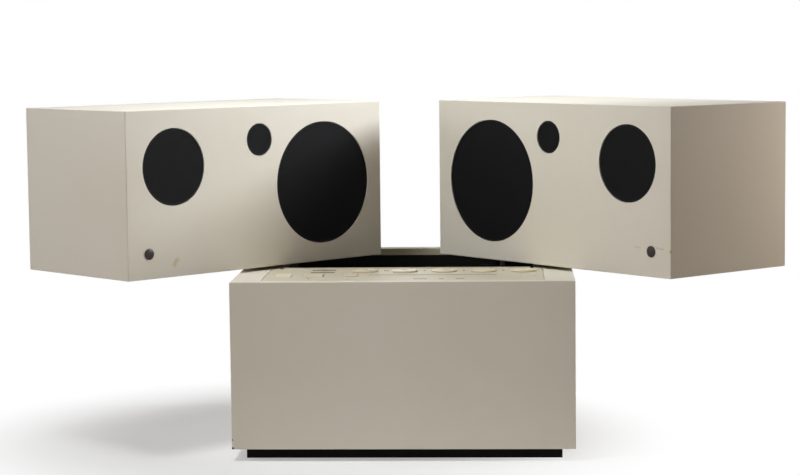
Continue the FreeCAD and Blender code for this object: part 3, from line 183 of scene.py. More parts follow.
lacquerLook = {
    "ivory": rgb(224, 218, 204),
    "yellowed": rgb(218, 209, 190),
    "edgeHighlightTone": rgb(228, 222, 208),
    "board": rgb(92, 72, 52),
    "gloss": 0.22,
    "roughness": 0.42,
    "cloudScale": 5.0,  # this and the next four scales are spots per metre
    "mottleScale": 70.0,
    "raggedScale": 190.0,
    "peelScale": 520,
    "gritScale": 900.0,
    "cloudShare": 0.35,  # how far the spots go towards the yellowed tone
    "mottleShare": 0.12,
    "cloudRoughness": 0.06,
    "gritRoughness": 0.05,
    "peelStrength": 0.35,
    "peelDepth": 0.00012,
    "edgeWidth": 1.6 * mm,
    "edgeHighlightReach": (1.6, 0.5),  # in edge widths
    "edgeHighlightShare": 0.35,
    "chipLevels": (0.685, 0.705),  # higher levels leave fewer chips
    "chipReach": (1.4 * mm, 0.9 * mm),
    "chipShare": 0.8,
    "chipDepth": 2.0,
    "markReach": (1.25, 0.4),  # in radii of the mark
    "markRagged": 2.2,
    "markRoughness": 0.2,
}


# satin ivory lacquer on a box that lies square after the turn, painted lighter along its edges as a painted
# edge highlight
def lacquer(name, low, high, turn=None, marks=()):
    look = lacquerLook
    finish = Finish(name, specularIorLevel=look["gloss"])
    place = finish.coords(turn)
    centre = (low + high) / 2
    half = (high - low) / 2
    x, y, z = place.parts()
    gapX = half.x - (x - centre.x).size()
    gapY = half.y - (y - centre.y).size()
    gapZ = half.z - (z - centre.z).size()
    nearest = gapX.least(gapY).least(gapZ)
    furthest = gapX.most(gapY).most(gapZ)
    edgeGap = gapX + gapY + gapZ - nearest - furthest  # distance to the second nearest face
    clouds = finish.noise(place, look["cloudScale"], 3.0)
    mottle = finish.noise(place, look["mottleScale"], 4.0, 0.6)
    grit = finish.noise(place, look["gritScale"], 2.0)
    yellow = clouds.fade(0.35, 0.75) * look["cloudShare"] + mottle.fade(0.45, 0.8) * look["mottleShare"]
    colour = finish.mix(look["ivory"], look["yellowed"], yellow)
    edge = look["edgeWidth"]
    # painted highlight: the colour goes towards a paler tone close to each edge, made ragged by the mottle
    edgeHighlightMask = (edgeGap + mottle * edge).fade(*(edge * reach for reach in look["edgeHighlightReach"]))
    colour = finish.mix(colour, look["edgeHighlightTone"], edgeHighlightMask * look["edgeHighlightShare"])
    ragged = finish.noise(place, look["raggedScale"], 4.0, 0.7)
    chips = ragged.fade(*look["chipLevels"]) * edgeGap.fade(*look["chipReach"])
    colour = finish.mix(colour, look["board"], chips * look["chipShare"])
    relief = finish.noise(place, look["peelScale"], 1.0) - chips * look["chipDepth"]
    roughness = look["roughness"] + clouds * look["cloudRoughness"] + grit * look["gritRoughness"]
    for mark in marks:
        radius = mark["radius"]
        blot = finish.distance(place, mark["place"]) + (ragged - 0.5) * radius * look["markRagged"]
        mask = blot.fade(*(radius * reach for reach in look["markReach"])) * mark["strength"]
        colour = finish.mix(colour, mark["colour"], mask)
        roughness = roughness + mask * look["markRoughness"]
    normal = finish.bump(relief, look["peelStrength"], look["peelDepth"])
    finish.feed(baseColor=colour, roughness=roughness, normal=normal)
    return finish.material


wear = {"stain": rgb(204, 170, 98), "scuff": rgb(128, 120, 106), "chip": rgb(62, 50, 40)}


def wearMark(place, radius, kind, strength):
    return {"place": Vector(place), "radius": radius, "colour": wear[kind], "strength": strength}


def scratchLine(start, end, count, radius, strength):
    start, end = Vector(start), Vector(end)
    return [wearMark(start.lerp(end, step / (count - 1)), radius, "scuff", strength) for step in range(count)]


wearMarks = {  # on the base as it stands, and on the speakers as they lie when shut
    "base": [
        wearMark((-0.2545, -0.2545, 0.0324), 1.5 * mm, "chip", 1),
        wearMark((-0.2540, -0.2545, 0.0196), 2.6 * mm, "chip", 1),
        wearMark((0.0012, -0.2550, 0.1695), 0.8 * mm, "scuff", 0.5),
    ],
    "left": [
        wearMark((-0.0032, -0.1640, 0.2985), 5.0 * mm, "stain", 0.4),
        wearMark((-0.0032, -0.1670, 0.2950), 4.5 * mm, "stain", 0.3),
        wearMark((-0.0032, -0.1690, 0.2915), 4.5 * mm, "stain", 0.4),
    ],
    "right": [
        *scratchLine((0.0032, -0.1835, 0.3155), (0.0032, -0.1930, 0.3150), 3, 1.5 * mm, 0.4),
        *scratchLine((0.0032, -0.2270, 0.3165), (0.0032, -0.2400, 0.3155), 4, 1.6 * mm, 0.42),
        wearMark((0.0032, -0.2540, 0.3130), 2.8 * mm, "stain", 0.7),
    ],
}


# painted, moulded and rubber surfaces: two tones, roughness, grain per metre, its depth, gloss
paints = {
    "ivoryEnamel": {"tones": (rgb(210, 203, 184), rgb(204, 195, 173)), "roughness": 0.46, "grain": 1500,
                    "depth": 0.00006, "gloss": 0.4},
    "ivoryPlastic": {"tones": (rgb(230, 221, 196), rgb(222, 210, 179)), "roughness": 0.30, "grain": 900,
                     "depth": 0.00003, "gloss": 0.5},
    "blackEnamel": {"tones": (rgb(17, 17, 17), rgb(22, 22, 22)), "roughness": 0.55, "grain": 2200,
                    "depth": 0.00010, "gloss": 0.12},
    "blackPaint": {"tones": (rgb(15, 14, 14), rgb(22, 21, 20)), "roughness": 0.65, "grain": 800,
                   "depth": 0.00012, "gloss": 0.08},
    "blackPlastic": {"tones": (rgb(20, 20, 21), rgb(27, 27, 28)), "roughness": 0.44, "grain": 1800,
                     "depth": 0.00008, "gloss": 0.25},
    "blackSatin": {"tones": (rgb(15, 15, 16), rgb(20, 20, 21)), "roughness": 0.58, "grain": 1800,
                   "depth": 0.00004, "gloss": 0.04},
    "blackRubber": {"tones": (rgb(20, 20, 20), rgb(28, 27, 26)), "roughness": 0.72, "grain": 1400,
                    "depth": 0.00006, "gloss": 0.2},
    "brownRubber": {"tones": (rgb(32, 23, 18), rgb(40, 29, 23)), "roughness": 0.46, "grain": 1300,
                    "depth": 0.00006, "gloss": 0.38},
    "dialCard": {"tones": (rgb(216, 209, 186), rgb(209, 200, 174)), "roughness": 0.60, "grain": 1200,
                 "depth": 0.00003, "gloss": 0.3},
    "redLacquer": {"tones": (rgb(178, 36, 22), rgb(160, 30, 20)), "roughness": 0.32, "grain": 700,
                   "depth": 0.00002, "gloss": 0.5},
    "paperCone": {"tones": (rgb(18, 18, 19), rgb(26, 25, 25)), "roughness": 0.78, "grain": 1700,
                  "depth": 0.00015, "gloss": 0.1},
    "darkInk": {"tones": (rgb(66, 61, 54), rgb(78, 72, 64)), "roughness": 0.55, "grain": 900,
                "depth": 0.00001, "gloss": 0.3},
    "paleInk": {"tones": (rgb(206, 202, 190), rgb(190, 186, 174)), "roughness": 0.55, "grain": 900,
                "depth": 0.00001, "gloss": 0.3},
}
paintWear = {"cloudScale": 14.0, "dustScale": 160.0, "cloudShare": 0.7, "grainShare": 0.3,
             "dustRoughness": 0.12, "grainStrength": 0.4}


def paint(name):
    look = paints[name]
    finish = Finish(name, specularIorLevel=look["gloss"])
    place = finish.coords()
    clouds = finish.noise(place, paintWear["cloudScale"], 3.0)
    grain = finish.noise(place, look["grain"], 2.0)
    dust = finish.noise(place, paintWear["dustScale"], 5.0, 0.65)
    share = clouds.fade(0.3, 0.7) * paintWear["cloudShare"] + grain * paintWear["grainShare"]
    roughness = look["roughness"] + (dust - 0.5) * paintWear["dustRoughness"]
    normal = finish.bump(grain, paintWear["grainStrength"], look["depth"])
    finish.feed(baseColor=finish.mix(*look["tones"], share), roughness=roughness, normal=normal)
    return finish.material


metals = {  # bare metals: tone, darker tone, roughness, brush lines per metre along each axis
    "blackSteel": {"tones": (rgb(34, 34, 36), rgb(24, 24, 25)), "roughness": 0.42,
                   "lines": (700, 700, 4000)},
    "turnedBrass": {"tones": (rgb(206, 172, 104), rgb(150, 116, 62)), "roughness": 0.30,
                    "lines": (900, 900, 4000)},
    "groundSteel": {"tones": (rgb(190, 190, 190), rgb(142, 142, 144)), "roughness": 0.26,
                    "lines": (700, 700, 5000)},
    "zincPlate": {"tones": (rgb(186, 186, 180), rgb(150, 149, 140)), "roughness": 0.38,
                  "lines": (60, 60, 2500)},
    "castAluminium": {"tones": (rgb(202, 202, 200), rgb(164, 164, 162)), "roughness": 0.34,
                      "lines": (400, 400, 3500)},
}
metalWear = {"tarnishScale": 30.0, "tarnishShare": 0.6, "lineShare": 0.25, "lineRoughness": 0.16,
             "tarnishRoughness": 0.1, "lineStrength": 0.25, "lineDepth": 0.00004}


def metal(name):
    look = metals[name]
    finish = Finish(name, metallic=1.0)
    place = finish.coords()
    lines = finish.noise(finish.stretch(place, look["lines"]), 1.0, 3.0, 0.6)
    tarnish = finish.noise(place, metalWear["tarnishScale"], 4.0, 0.6)
    share = tarnish.fade(0.4, 0.75) * metalWear["tarnishShare"] + lines * metalWear["lineShare"]
    roughness = look["roughness"] + (lines - 0.5) * metalWear["lineRoughness"]
    roughness = roughness + tarnish.fade(0.5, 0.9) * metalWear["tarnishRoughness"]
    normal = finish.bump(lines, metalWear["lineStrength"], metalWear["lineDepth"])
    finish.feed(baseColor=finish.mix(*look["tones"], share), roughness=roughness, normal=normal)
    return finish.material


grilleLook = {
    "face": rgb(19, 19, 20),
    "hole": rgb(6, 6, 7),
    "dust": rgb(38, 36, 34),
    "gloss": 0.08,
    "roughness": 0.58,
    "pitch": 2.2 * mm,
    "holeShare": 0.62,
    "holeSoftness": 0.1,
    "holeStrength": 0.5,
    "holeDepth": 0.3 * mm,
    "dustScale": 22.0,
    "dustShare": 0.2,
    "dustRoughness": 0.15,
}


# black sheet with staggered round holes, laid out on the shut baffle
def grilleMesh(name, turn):
    look = grilleLook
    finish = Finish(name, specularIorLevel=look["gloss"])
    place = finish.coords(turn)
    y, z = place.parts()[1:]
    step = 2 * math.pi / look["pitch"]
    rowStep = step / math.sqrt(3)
    weave = (y * step).wave() * (z * rowStep).wave()  # staggered rows of humps
    start = 1 - look["holeShare"]
    holes = weave.size().fade(start, start + look["holeSoftness"])
    dust = finish.noise(place, look["dustScale"], 4.0, 0.6)
    colour = finish.mix(look["face"], look["hole"], holes)
    colour = finish.mix(colour, look["dust"], dust.fade(0.55, 0.95) * look["dustShare"])
    roughness = look["roughness"] + dust * look["dustRoughness"]
    normal = finish.bump(1 - holes, look["holeStrength"], look["holeDepth"])
    finish.feed(baseColor=colour, roughness=roughness, normal=normal)
    return finish.material


plywoodLook = {
    "tones": (rgb(134, 98, 62), rgb(96, 66, 40)),
    "fibre": (14, 260, 260),  # lines per metre along each axis
    "fleckScale": 420.0,
    "fibreShare": 0.75,
    "fleckShare": 0.25,
    "roughness": (0.68, 0.14),  # least, and what the fibre adds
    "bump": (0.4, 0.2 * mm),  # strength and depth
}


def barePlywood():
    look = plywoodLook
    finish = Finish("bareBoard")
    place = finish.coords()
    fibre = finish.noise(finish.stretch(place, look["fibre"]), 1.0, 5.0, 0.65)
    flecks = finish.noise(place, look["fleckScale"], 3.0, 0.7)
    share = fibre.fade(0.3, 0.75) * look["fibreShare"] + flecks.fade(0.55, 0.8) * look["fleckShare"]
    least, added = look["roughness"]
    normal = finish.bump(fibre, *look["bump"])
    finish.feed(baseColor=finish.mix(*look["tones"], share), roughness=least + fibre * added, normal=normal)
    return finish.material


laminateLook = {
    "tones": (rgb(112, 96, 52), rgb(70, 84, 44)),
    "trackScale": 130.0,
    "speckleScale": 600.0,
    "roughness": (0.36, 0.2),  # least, and what the speckle adds
    "bump": (0.3, 0.08 * mm),
}


def circuitLaminate():
    look = laminateLook
    finish = Finish("circuitLaminate")
    place = finish.coords()
    tracks = finish.cells(place, look["trackScale"]).fade(0.25, 0.32)
    speckle = finish.noise(place, look["speckleScale"], 2.0)
    colour = finish.mix(*look["tones"], tracks)
    least, added = look["roughness"]
    normal = finish.bump(tracks, *look["bump"])
    finish.feed(baseColor=colour, roughness=least + speckle * added, normal=normal)
    return finish.material


coreLook = {
    "tones": (rgb(70, 62, 54), rgb(38, 33, 30)),
    "metallic": 0.35,
    "sheet": 0.8 * mm,  # thickness of one iron sheet
    "varnishScale": 40.0,
    "roughness": (0.42, 0.2),  # least, and what the varnish adds
    "bump": (0.4, 0.2 * mm),
}


def ironCore():
    look = coreLook
    finish = Finish("ironCore", metallic=look["metallic"])
    place = finish.coords()
    sheets = (place.parts()[1] * (2 * math.pi / look["sheet"])).wave()
    varnish = finish.noise(place, look["varnishScale"], 4.0, 0.6)
    colour = finish.mix(*look["tones"], varnish.fade(0.35, 0.7))
    least, added = look["roughness"]
    normal = finish.bump(sheets, *look["bump"])
    finish.feed(baseColor=colour, roughness=least + varnish * added, normal=normal)
    return finish.material


acrylicLook = {
    "haze": (0.66, 0.61, 0.46, 1),
    "tint": (0.93, 0.93, 0.9, 1),
    "gloss": 0.05,
    "roughness": 0.34,
    "smearScale": 90.0,
    "smearRoughness": 0.14,
    "ior": 1.45,
    "hazeGain": 2.2,
    "hazeShare": 0.06,  # haze that every view has
    "hazeMost": 0.95,
}


# clear acrylic with a matt face: see-through from above, milky as the view gets flatter
def clearAcrylic():
    look = acrylicLook
    finish = Finish("clearAcrylic", baseColor=look["haze"], specularIorLevel=look["gloss"])
    place = finish.coords()
    smear = finish.noise(place, look["smearScale"], 4.0, 0.6)
    finish.feed(roughness=look["roughness"] + smear.fade(0.5, 0.9) * look["smearRoughness"])
    clear = finish.node("BsdfTransparent", {}, {"Color": look["tint"]})
    flatness = finish.node("Fresnel", {}, {"IOR": look["ior"]})
    share = (flatness * look["hazeGain"] + look["hazeShare"]).least(look["hazeMost"])
    finish.blend(share, clear, finish.coat())
    return finish.material


def dress(nodeNames, material):
    for name in nodeNames:
        piece = nodes[name]
        if not piece.material_slots:
            piece.data.materials.append(material)
        for holder in piece.material_slots:
            holder.material = material


baseLow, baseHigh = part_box("base_cabinet")
dress(["base_cabinet"], lacquer("baseLacquer", baseLow, baseHigh, marks=wearMarks["base"]))
for side in sides:
    turn = turnToShut(side)
    boards = [side + "_cabinet", side + "_baffle"]
    dress(boards, lacquer(side + "Lacquer", *shutBox(turn, boards), turn, wearMarks[side]))
    dress([side + "_grilles"], grilleMesh(side + "GrilleMesh", turn))

finishes = {name: paint(name) for name in paints}
finishes.update({name: metal(name) for name in metals})
dressing = {
    "ivoryEnamel": ["top_panel", "mono_key"],
    "ivoryPlastic": [knob + "_knob" for knob in knobs] + ["play_key", "band_key", "power_rocker"],
    "blackEnamel": ["well_liner", "deck_plate", "meter_case", "arm_base"],
    "blackPaint": ["plinth"],
    "blackPlastic": ["socket_panel", "key_switches", "speed_knob"],
    "blackRubber": ["platter_mat", "drive_belt", "deck_mounts"],
    "brownRubber": [side + "_bumper" for side in sides],
    "dialCard": ["dial_tray"],
    "redLacquer": ["dial_pointer", "meter_needle"],
    "paperCone": [side + "_" + driver for side in sides for driver in drivers],
    "turnedBrass": ["pivot_bushes", "motor_pulley"],
    "groundSteel": ["platter_bearing"],
    "blackSteel": [side + "_pivot_pin" for side in sides],
    "zincPlate": ["drive_motor", "control_pots"],
    "castAluminium": ["platter", "heat_sink"],
    "blackSatin": ["arm_yoke", "arm_tube", "counterweight", "cue_lever", "arm_rest", "headshell", "lift_bar"],
}
for name, pieces in dressing.items():
    dress(pieces, finishes[name])
dress(["bottom_board"], barePlywood())
dress(["amplifier_board", "control_board"], circuitLaminate())
dress(["power_transformer"], ironCore())
dress(["dial_windows"], clearAcrylic())
print("finishes laid on", len(bpy.data.materials), "materials")

sharpAngle = math.radians(35)


# new pieces: a mesh from operators, finished and set to ride on its body
def addPiece(name, body, material, bm, smooth=True):
    bmesh.ops.recalc_face_normals(bm, faces=bm.faces)
    mesh = bpy.data.meshes.new(name)
    bm.to_mesh(mesh)
    bm.free()
    if smooth:
        mesh.shade_smooth()
        mesh.set_sharp_from_angle(angle=sharpAngle)
    mesh.materials.append(material)
    piece = bpy.data.objects.new(name, mesh)
    bpy.context.scene.collection.objects.link(piece)
    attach(piece, body)


def stamp(bm, shape, place):  # adds a copy of a finished shape
    count = len(bm.verts)
    bm.from_mesh(shape)
    bm.verts.ensure_lookup_table()
    bmesh.ops.transform(bm, matrix=place, verts=bm.verts[count:])


def keepShape(name, bm):
    shape = bpy.data.meshes.new(name)
    bm.to_mesh(shape)
    bm.free()
    return shape


def spinRound(bm, steps):
    bmesh.ops.spin(bm, geom=bm.verts[:] + bm.edges[:], cent=(0, 0, 0), axis=(0, 0, 1), angle=2 * math.pi,
                   steps=steps, use_merge=True)


def turnProfile(profile, steps=28):  # (radius, height) pairs, from the axis out and back to it
    bm = bmesh.new()
    verts = [bm.verts.new((radius, 0, height)) for radius, height in profile]
    for pair in zip(verts, verts[1:]):
        bm.edges.new(pair)
    spinRound(bm, steps)
    bmesh.ops.remove_doubles(bm, verts=bm.verts, dist=1e-6)
    bmesh.ops.recalc_face_normals(bm, faces=bm.faces)
    return bm


def ridgeRing(radius, width, height, steps=96):  # half-sunk round ridge
    bm = bmesh.new()
    section = Matrix.Translation((radius, 0, 0)) @ Matrix.Diagonal((width / 2, 1, height, 1))
    section = section @ Matrix.Rotation(math.pi / 2, 4, "X")
    bmesh.ops.create_circle(bm, radius=1, segments=8, matrix=section)
    spinRound(bm, steps)
    bmesh.ops.recalc_face_normals(bm, faces=bm.faces)
    return bm


ink = {"thickness": 0.04 * mm, "sink": 0.01 * mm}


def inkPlace(place, turn=0):  # middle of a layer of ink, sunk a little into its surface
    middle = Vector(place) + Vector((0, 0, ink["thickness"] / 2 - ink["sink"]))
    return Matrix.Translation(middle) @ Matrix.Rotation(turn, 4, "Z")


def printBar(bm, place, width, depth):
    shape = Matrix.Diagonal((width, depth, ink["thickness"], 1))
    bmesh.ops.create_cube(bm, size=1, matrix=inkPlace(place) @ shape)


def printArrow(bm, place, size):  # plain triangle that points right
    bmesh.ops.create_cone(bm, cap_ends=True, segments=3, radius1=size / 2, radius2=size / 2,
                          depth=ink["thickness"], matrix=inkPlace(place, -math.pi / 2))


def printNumber(bm, words, place, height):
    curve = bpy.data.curves.new("number", "FONT")
    curve.body = words
    curve.size = height
    curve.extrude = ink["thickness"] / 2
    curve.resolution_u = 3
    curve.align_x = "CENTER"
    curve.align_y = "CENTER"
    holder = bpy.data.objects.new("number", curve)
    shape = bpy.data.meshes.new_from_object(holder)
    stamp(bm, shape, inkPlace(place))
    bpy.data.objects.remove(holder)
    bpy.data.curves.remove(curve)
    bpy.data.meshes.remove(shape)


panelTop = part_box("base_cabinet")[1].z
panelPrint = {
    "betweenKnobs": {"y": -110 * mm, "width": 3.0 * mm, "depth": 9 * mm, "firstPair": 4.1 * mm},
    "playArrow": {"place": (-141.5 * mm, -211 * mm), "size": 8 * mm},
    "bandDashes": {"y": -219 * mm, "depth": 5 * mm, "spans": [(15.7, 36.2), (54.1, 61.0), (78.9, 91.6)]},
}


# a bar between each two knobs, two between the first, an arrow by a key and dashes under the dial
def makePanelPrint():
    bm = bmesh.new()
    boxes = [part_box(name + "_knob") for name in knobs]
    centres = [(low.x + high.x) / 2 for low, high in boxes]
    look = panelPrint["betweenKnobs"]
    middles = [(left + right) / 2 for left, right in zip(centres, centres[1:])]
    middles.append(middles[0] + look["firstPair"])
    for x in middles:
        printBar(bm, (x, look["y"], panelTop), look["width"], look["depth"])
    arrow = panelPrint["playArrow"]
    printArrow(bm, (*arrow["place"], panelTop), arrow["size"])
    look = panelPrint["bandDashes"]
    for start, end in look["spans"]:
        printBar(bm, ((start + end) / 2 * mm, look["y"], panelTop), (end - start) * mm, look["depth"])
    addPiece("panelPrint", "base", finishes["darkInk"], bm, smooth=False)


dialPrintAndShade = {
    "wall": 2 * mm,
    "cover": 6.2 * mm,
    "opening": 32 * mm,
    "border": 2.4 * mm,
    "margin": 8 * mm,
    "lineShares": (0.20, 0.50, 0.80),
    "line": 0.35 * mm,
    "tick": 1.6 * mm,
    "longTick": 3.0 * mm,
    "longEvery": 5,
    "tickCount": 50,
    "numberHeight": 3.4 * mm,
    "numberGap": 3.4 * mm,
    "numbers": (("150", "200", "250", "300", "350"), ("520", "600", "700", "850", "1100", "1600"),
                ("88", "92", "96", "100", "104", "108")),
}


# three scales with plain numbers on the card, and two dark lines on the lens above it along the front and
# rear of its opening, a painted shade of the window's edges
def makeDialPrintAndShade():
    look = dialPrintAndShade
    low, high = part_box("dial_tray")
    card = low.z + look["wall"]
    front = low.y + look["cover"]
    left = low.x + look["cover"] + look["margin"]
    right = high.x - look["cover"] - look["margin"]
    bm = bmesh.new()
    for share, numbers in zip(look["lineShares"], look["numbers"]):
        y = front + look["opening"] * share
        printBar(bm, ((left + right) / 2, y, card), right - left, look["line"])
        for step in range(look["tickCount"] + 1):
            x = left + (right - left) * step / look["tickCount"]
            tall = look["longTick"] if step % look["longEvery"] == 0 else look["tick"]
            printBar(bm, (x, y + tall / 2, card), look["line"], tall)
        for step, number in enumerate(numbers):
            x = left + (right - left) * (step + 0.5) / len(numbers)
            printNumber(bm, number, (x, y - look["numberGap"], card), look["numberHeight"])
    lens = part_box("dial_windows")[1].z
    wide = high.x - low.x - 2 * look["cover"]
    # painted shade: dark lines laid on the lens where the window's front and rear edges lie in shade
    for y in (front + look["border"] / 2, front + look["opening"] - look["border"] / 2):
        printBar(bm, ((left + right) / 2, y, lens), wide, look["border"])
    addPiece("dialPrintAndShade", "base", finishes["darkInk"], bm, smooth=False)


meterPrintAndShade = {
    "border": 4.6 * mm,
    "mask": 12 * mm,
    "rearShadeBand": 10 * mm,
    "tickCount": 19,
    "tick": 1.1 * mm,
    "longEvery": 3,
    "shortShare": 0.7,
}


# dark bands on the meter's lens at front and rear, a painted shade of the meter's opening, with pale scale
# lines between them
def makeMeterPrintAndShade():
    look = meterPrintAndShade
    low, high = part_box("meter_case")
    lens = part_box("dial_windows")[1].z
    x = (low.x + high.x) / 2
    width = high.x - low.x - look["border"] * 2
    front, rear = low.y + look["border"], high.y - look["border"]
    bm = bmesh.new()
    # painted shade: the two dark bands stand in for the shade inside the meter's opening
    printBar(bm, (x, front + look["mask"] / 2, lens), width, look["mask"])
    printBar(bm, (x, rear - look["rearShadeBand"] / 2, lens), width, look["rearShadeBand"])
    addPiece("meterShadeBands", "base", finishes["darkInk"], bm, smooth=False)
    bm = bmesh.new()
    start, end = front + look["mask"], rear - look["rearShadeBand"]
    for step in range(look["tickCount"]):
        tall = (end - start) * (1 if step % look["longEvery"] == 0 else look["shortShare"])
        spot = x - width / 2 + width * (step + 0.5) / look["tickCount"]
        printBar(bm, (spot, end - tall / 2, lens), look["tick"], tall)
    addPiece("meterScale", "base", finishes["paleInk"], bm, smooth=False)


knobMark = {"width": 1.0 * mm, "start": 0.895, "end": 0.94}  # start and end are shares of the knob's radius


# a short line on the rim of each knob, at its front
def makeKnobMarks():
    look = knobMark
    for body in knobs:
        low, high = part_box(body + "_knob")
        centre = (low + high) / 2
        radius = (high.x - low.x) / 2
        start, end = radius * look["start"], radius * look["end"]
        bm = bmesh.new()
        printBar(bm, (centre.x, centre.y - (start + end) / 2, high.z), look["width"], end - start)
        addPiece(body + "Mark", body, finishes["darkInk"], bm, smooth=False)


screwLook = {
    "radius": 3.2 * mm,
    "head": 1.1 * mm,
    "profile": ((0, 1), (0.45, 0.94), (0.8, 0.65), (1, 0.2), (1, -0.4), (0, -0.4)),  # shares of the two above
    "slot": 0.7 * mm,
    "slotDepth": 0.6 * mm,
    "topFacing": 0.2,  # a face that looks up more than this belongs to the top
}


# raised head; the walls and floor of one slot lie under its top faces, which stay
def screwShape():
    look = screwLook
    edge = look["slot"] / 2
    bm = turnProfile([(look["radius"] * out, look["head"] * up) for out, up in look["profile"]])
    for side in (-1, 1):
        everything = bm.verts[:] + bm.edges[:] + bm.faces[:]
        bmesh.ops.bisect_plane(bm, geom=everything, plane_co=(side * edge, 0, 0), plane_no=(1, 0, 0))
    strip = [f for f in bm.faces if f.normal.z > look["topFacing"] and abs(f.calc_center_median().x) < edge]
    made = bmesh.ops.extrude_face_region(bm, geom=strip)["geom"]
    sunk = [g for g in made if isinstance(g, bmesh.types.BMVert)]
    bmesh.ops.translate(bm, verts=sunk, vec=(0, 0, -look["slotDepth"]))
    return keepShape("screwShape", bm)


def facing(place, way, turn=0):  # stands a shape on a place with its top along way
    upright = Vector(way).to_track_quat("Z", "Y").to_matrix().to_4x4()
    return Matrix.Translation(place) @ upright @ Matrix.Rotation(turn, 4, "Z")


screwPlaces = {
    "deckInset": 9 * mm,
    "footInset": 7 * mm,
    "footThickness": 4 * mm,
    "plateInset": 4.5 * mm,
    "boardInset": 16 * mm,
    "boardPerSide": 3,
    "slotTurn": 1.3,  # each head stands at another angle
}


def makeScrews():
    look = screwPlaces
    shape = screwShape()

    def group(name, material, spots, way):
        bm = bmesh.new()
        for count, spot in enumerate(spots):
            stamp(bm, shape, facing(spot, way, look["slotTurn"] * count))
        addPiece(name, "base", material, bm)

    low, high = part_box("deck_plate")
    inset = look["deckInset"]
    left, right, front, rear = low.x + inset, high.x - inset, low.y + inset, high.y - inset
    spots = [(left, rear, high.z), (right, rear, high.z), (right, front, high.z)]
    group("deckScrews", finishes["groundSteel"], spots, (0, 0, 1))

    low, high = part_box("arm_base")
    inset = look["footInset"]
    foot = low.z + look["footThickness"]
    left, right, front, rear = low.x + inset, high.x - inset, low.y + inset, high.y - inset
    spots = [(left, front, foot), (left, rear, foot), (right, rear, foot)]
    group("footScrews", finishes["groundSteel"], spots, (0, 0, 1))

    low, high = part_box("socket_panel")
    inset = look["plateInset"]
    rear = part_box("base_cabinet")[1].y
    levels = (low.z + inset, high.z - inset)
    spots = [(x, rear, z) for x in (low.x + inset, high.x - inset) for z in levels]
    group("plateScrews", finishes["groundSteel"], spots, (0, 1, 0))

    low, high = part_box("bottom_board")
    inset = look["boardInset"]
    last = look["boardPerSide"] - 1
    steps = [low.y + inset + (high.y - low.y - 2 * inset) * k / last for k in range(look["boardPerSide"])]
    spots = [(x, y, low.z) for x in (low.x + inset, high.x - inset) for y in steps]
    group("boardScrews", finishes["zincPlate"], spots, (0, 0, -1))
    bpy.data.meshes.remove(shape)


contactLook = {
    "plateBorder": 9 * mm,
    "margin": 27 * mm,
    "pitch": 27 * mm,
    "count": 5,
    "recess": 2.0 * mm,
    "ring": 3.6 * mm,
    "pinCount": 5,
    "pinSpread": 180,
    "pinRadius": 0.8 * mm,
    "pinLength": 1.6 * mm,
    "pinTipShare": 0.6,
    "pinShoulderShare": 0.75,
    "inletSide": 34 * mm,
    "inletWall": 3 * mm,
    "inletGap": 8.5 * mm,
    "inletPin": 1.8 * mm,
    "inletLength": 9 * mm,
    "inletTipShare": 0.5,
    "inletShoulderShare": 0.6,
}


# small pins in the five sockets and the two pins of the mains inlet
def makeContacts():
    look = contactLook
    low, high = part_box("socket_panel")
    level = (low.z + high.z) / 2
    bm = bmesh.new()
    radius, length = look["pinRadius"], look["pinLength"]
    tip, shoulder = radius * look["pinTipShare"], length * look["pinShoulderShare"]
    profile = [(0, length), (tip, length), (radius, shoulder), (radius, -length), (0, -length)]
    pin = keepShape("socketPin", turnProfile(profile, 12))
    floor = high.y - look["recess"]
    for count in range(look["count"]):
        x = high.x - look["plateBorder"] - look["margin"] - look["pitch"] * count
        for step in range(look["pinCount"]):
            turn = math.radians(look["pinSpread"] * (step / (look["pinCount"] - 1) - 0.5) - 90)
            across, up = look["ring"] * math.cos(turn), look["ring"] * math.sin(turn)
            stamp(bm, pin, facing((x + across, floor, level + up), (0, 1, 0)))
    x = low.x + look["plateBorder"] + look["inletSide"]
    back = low.y + look["inletWall"]
    radius, length = look["inletPin"], look["inletLength"]
    tip, shoulder = radius * look["inletTipShare"], length - radius * look["inletShoulderShare"]
    profile = [(0, length), (tip, length), (radius, shoulder), (radius, -radius), (0, -radius)]
    inletPin = keepShape("inletPin", turnProfile(profile, 16))
    for side in (-1, 1):
        stamp(bm, inletPin, facing((x + side * look["inletGap"] / 2, back, level), (0, 1, 0)))
    addPiece("socketContacts", "base", finishes["turnedBrass"], bm)
    bpy.data.meshes.remove(pin)
    bpy.data.meshes.remove(inletPin)


matLook = {"first": 62 * mm, "last": 139 * mm, "count": 20, "width": 1.8 * mm, "height": 0.35 * mm}


def makeMatRidges():
    look = matLook
    low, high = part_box("platter_mat")
    place = Matrix.Translation(((low.x + high.x) / 2, (low.y + high.y) / 2, high.z))
    bm = bmesh.new()
    for step in range(look["count"]):
        radius = look["first"] + (look["last"] - look["first"]) * step / (look["count"] - 1)
        ring = keepShape("ridge", ridgeRing(radius, look["width"], look["height"]))
        stamp(bm, ring, place)
        bpy.data.meshes.remove(ring)
    addPiece("matRidges", "turntable", finishes["blackRubber"], bm)


rimLook = {"gap": 2.0 * mm, "width": 2.6 * mm, "height": 0.55 * mm}


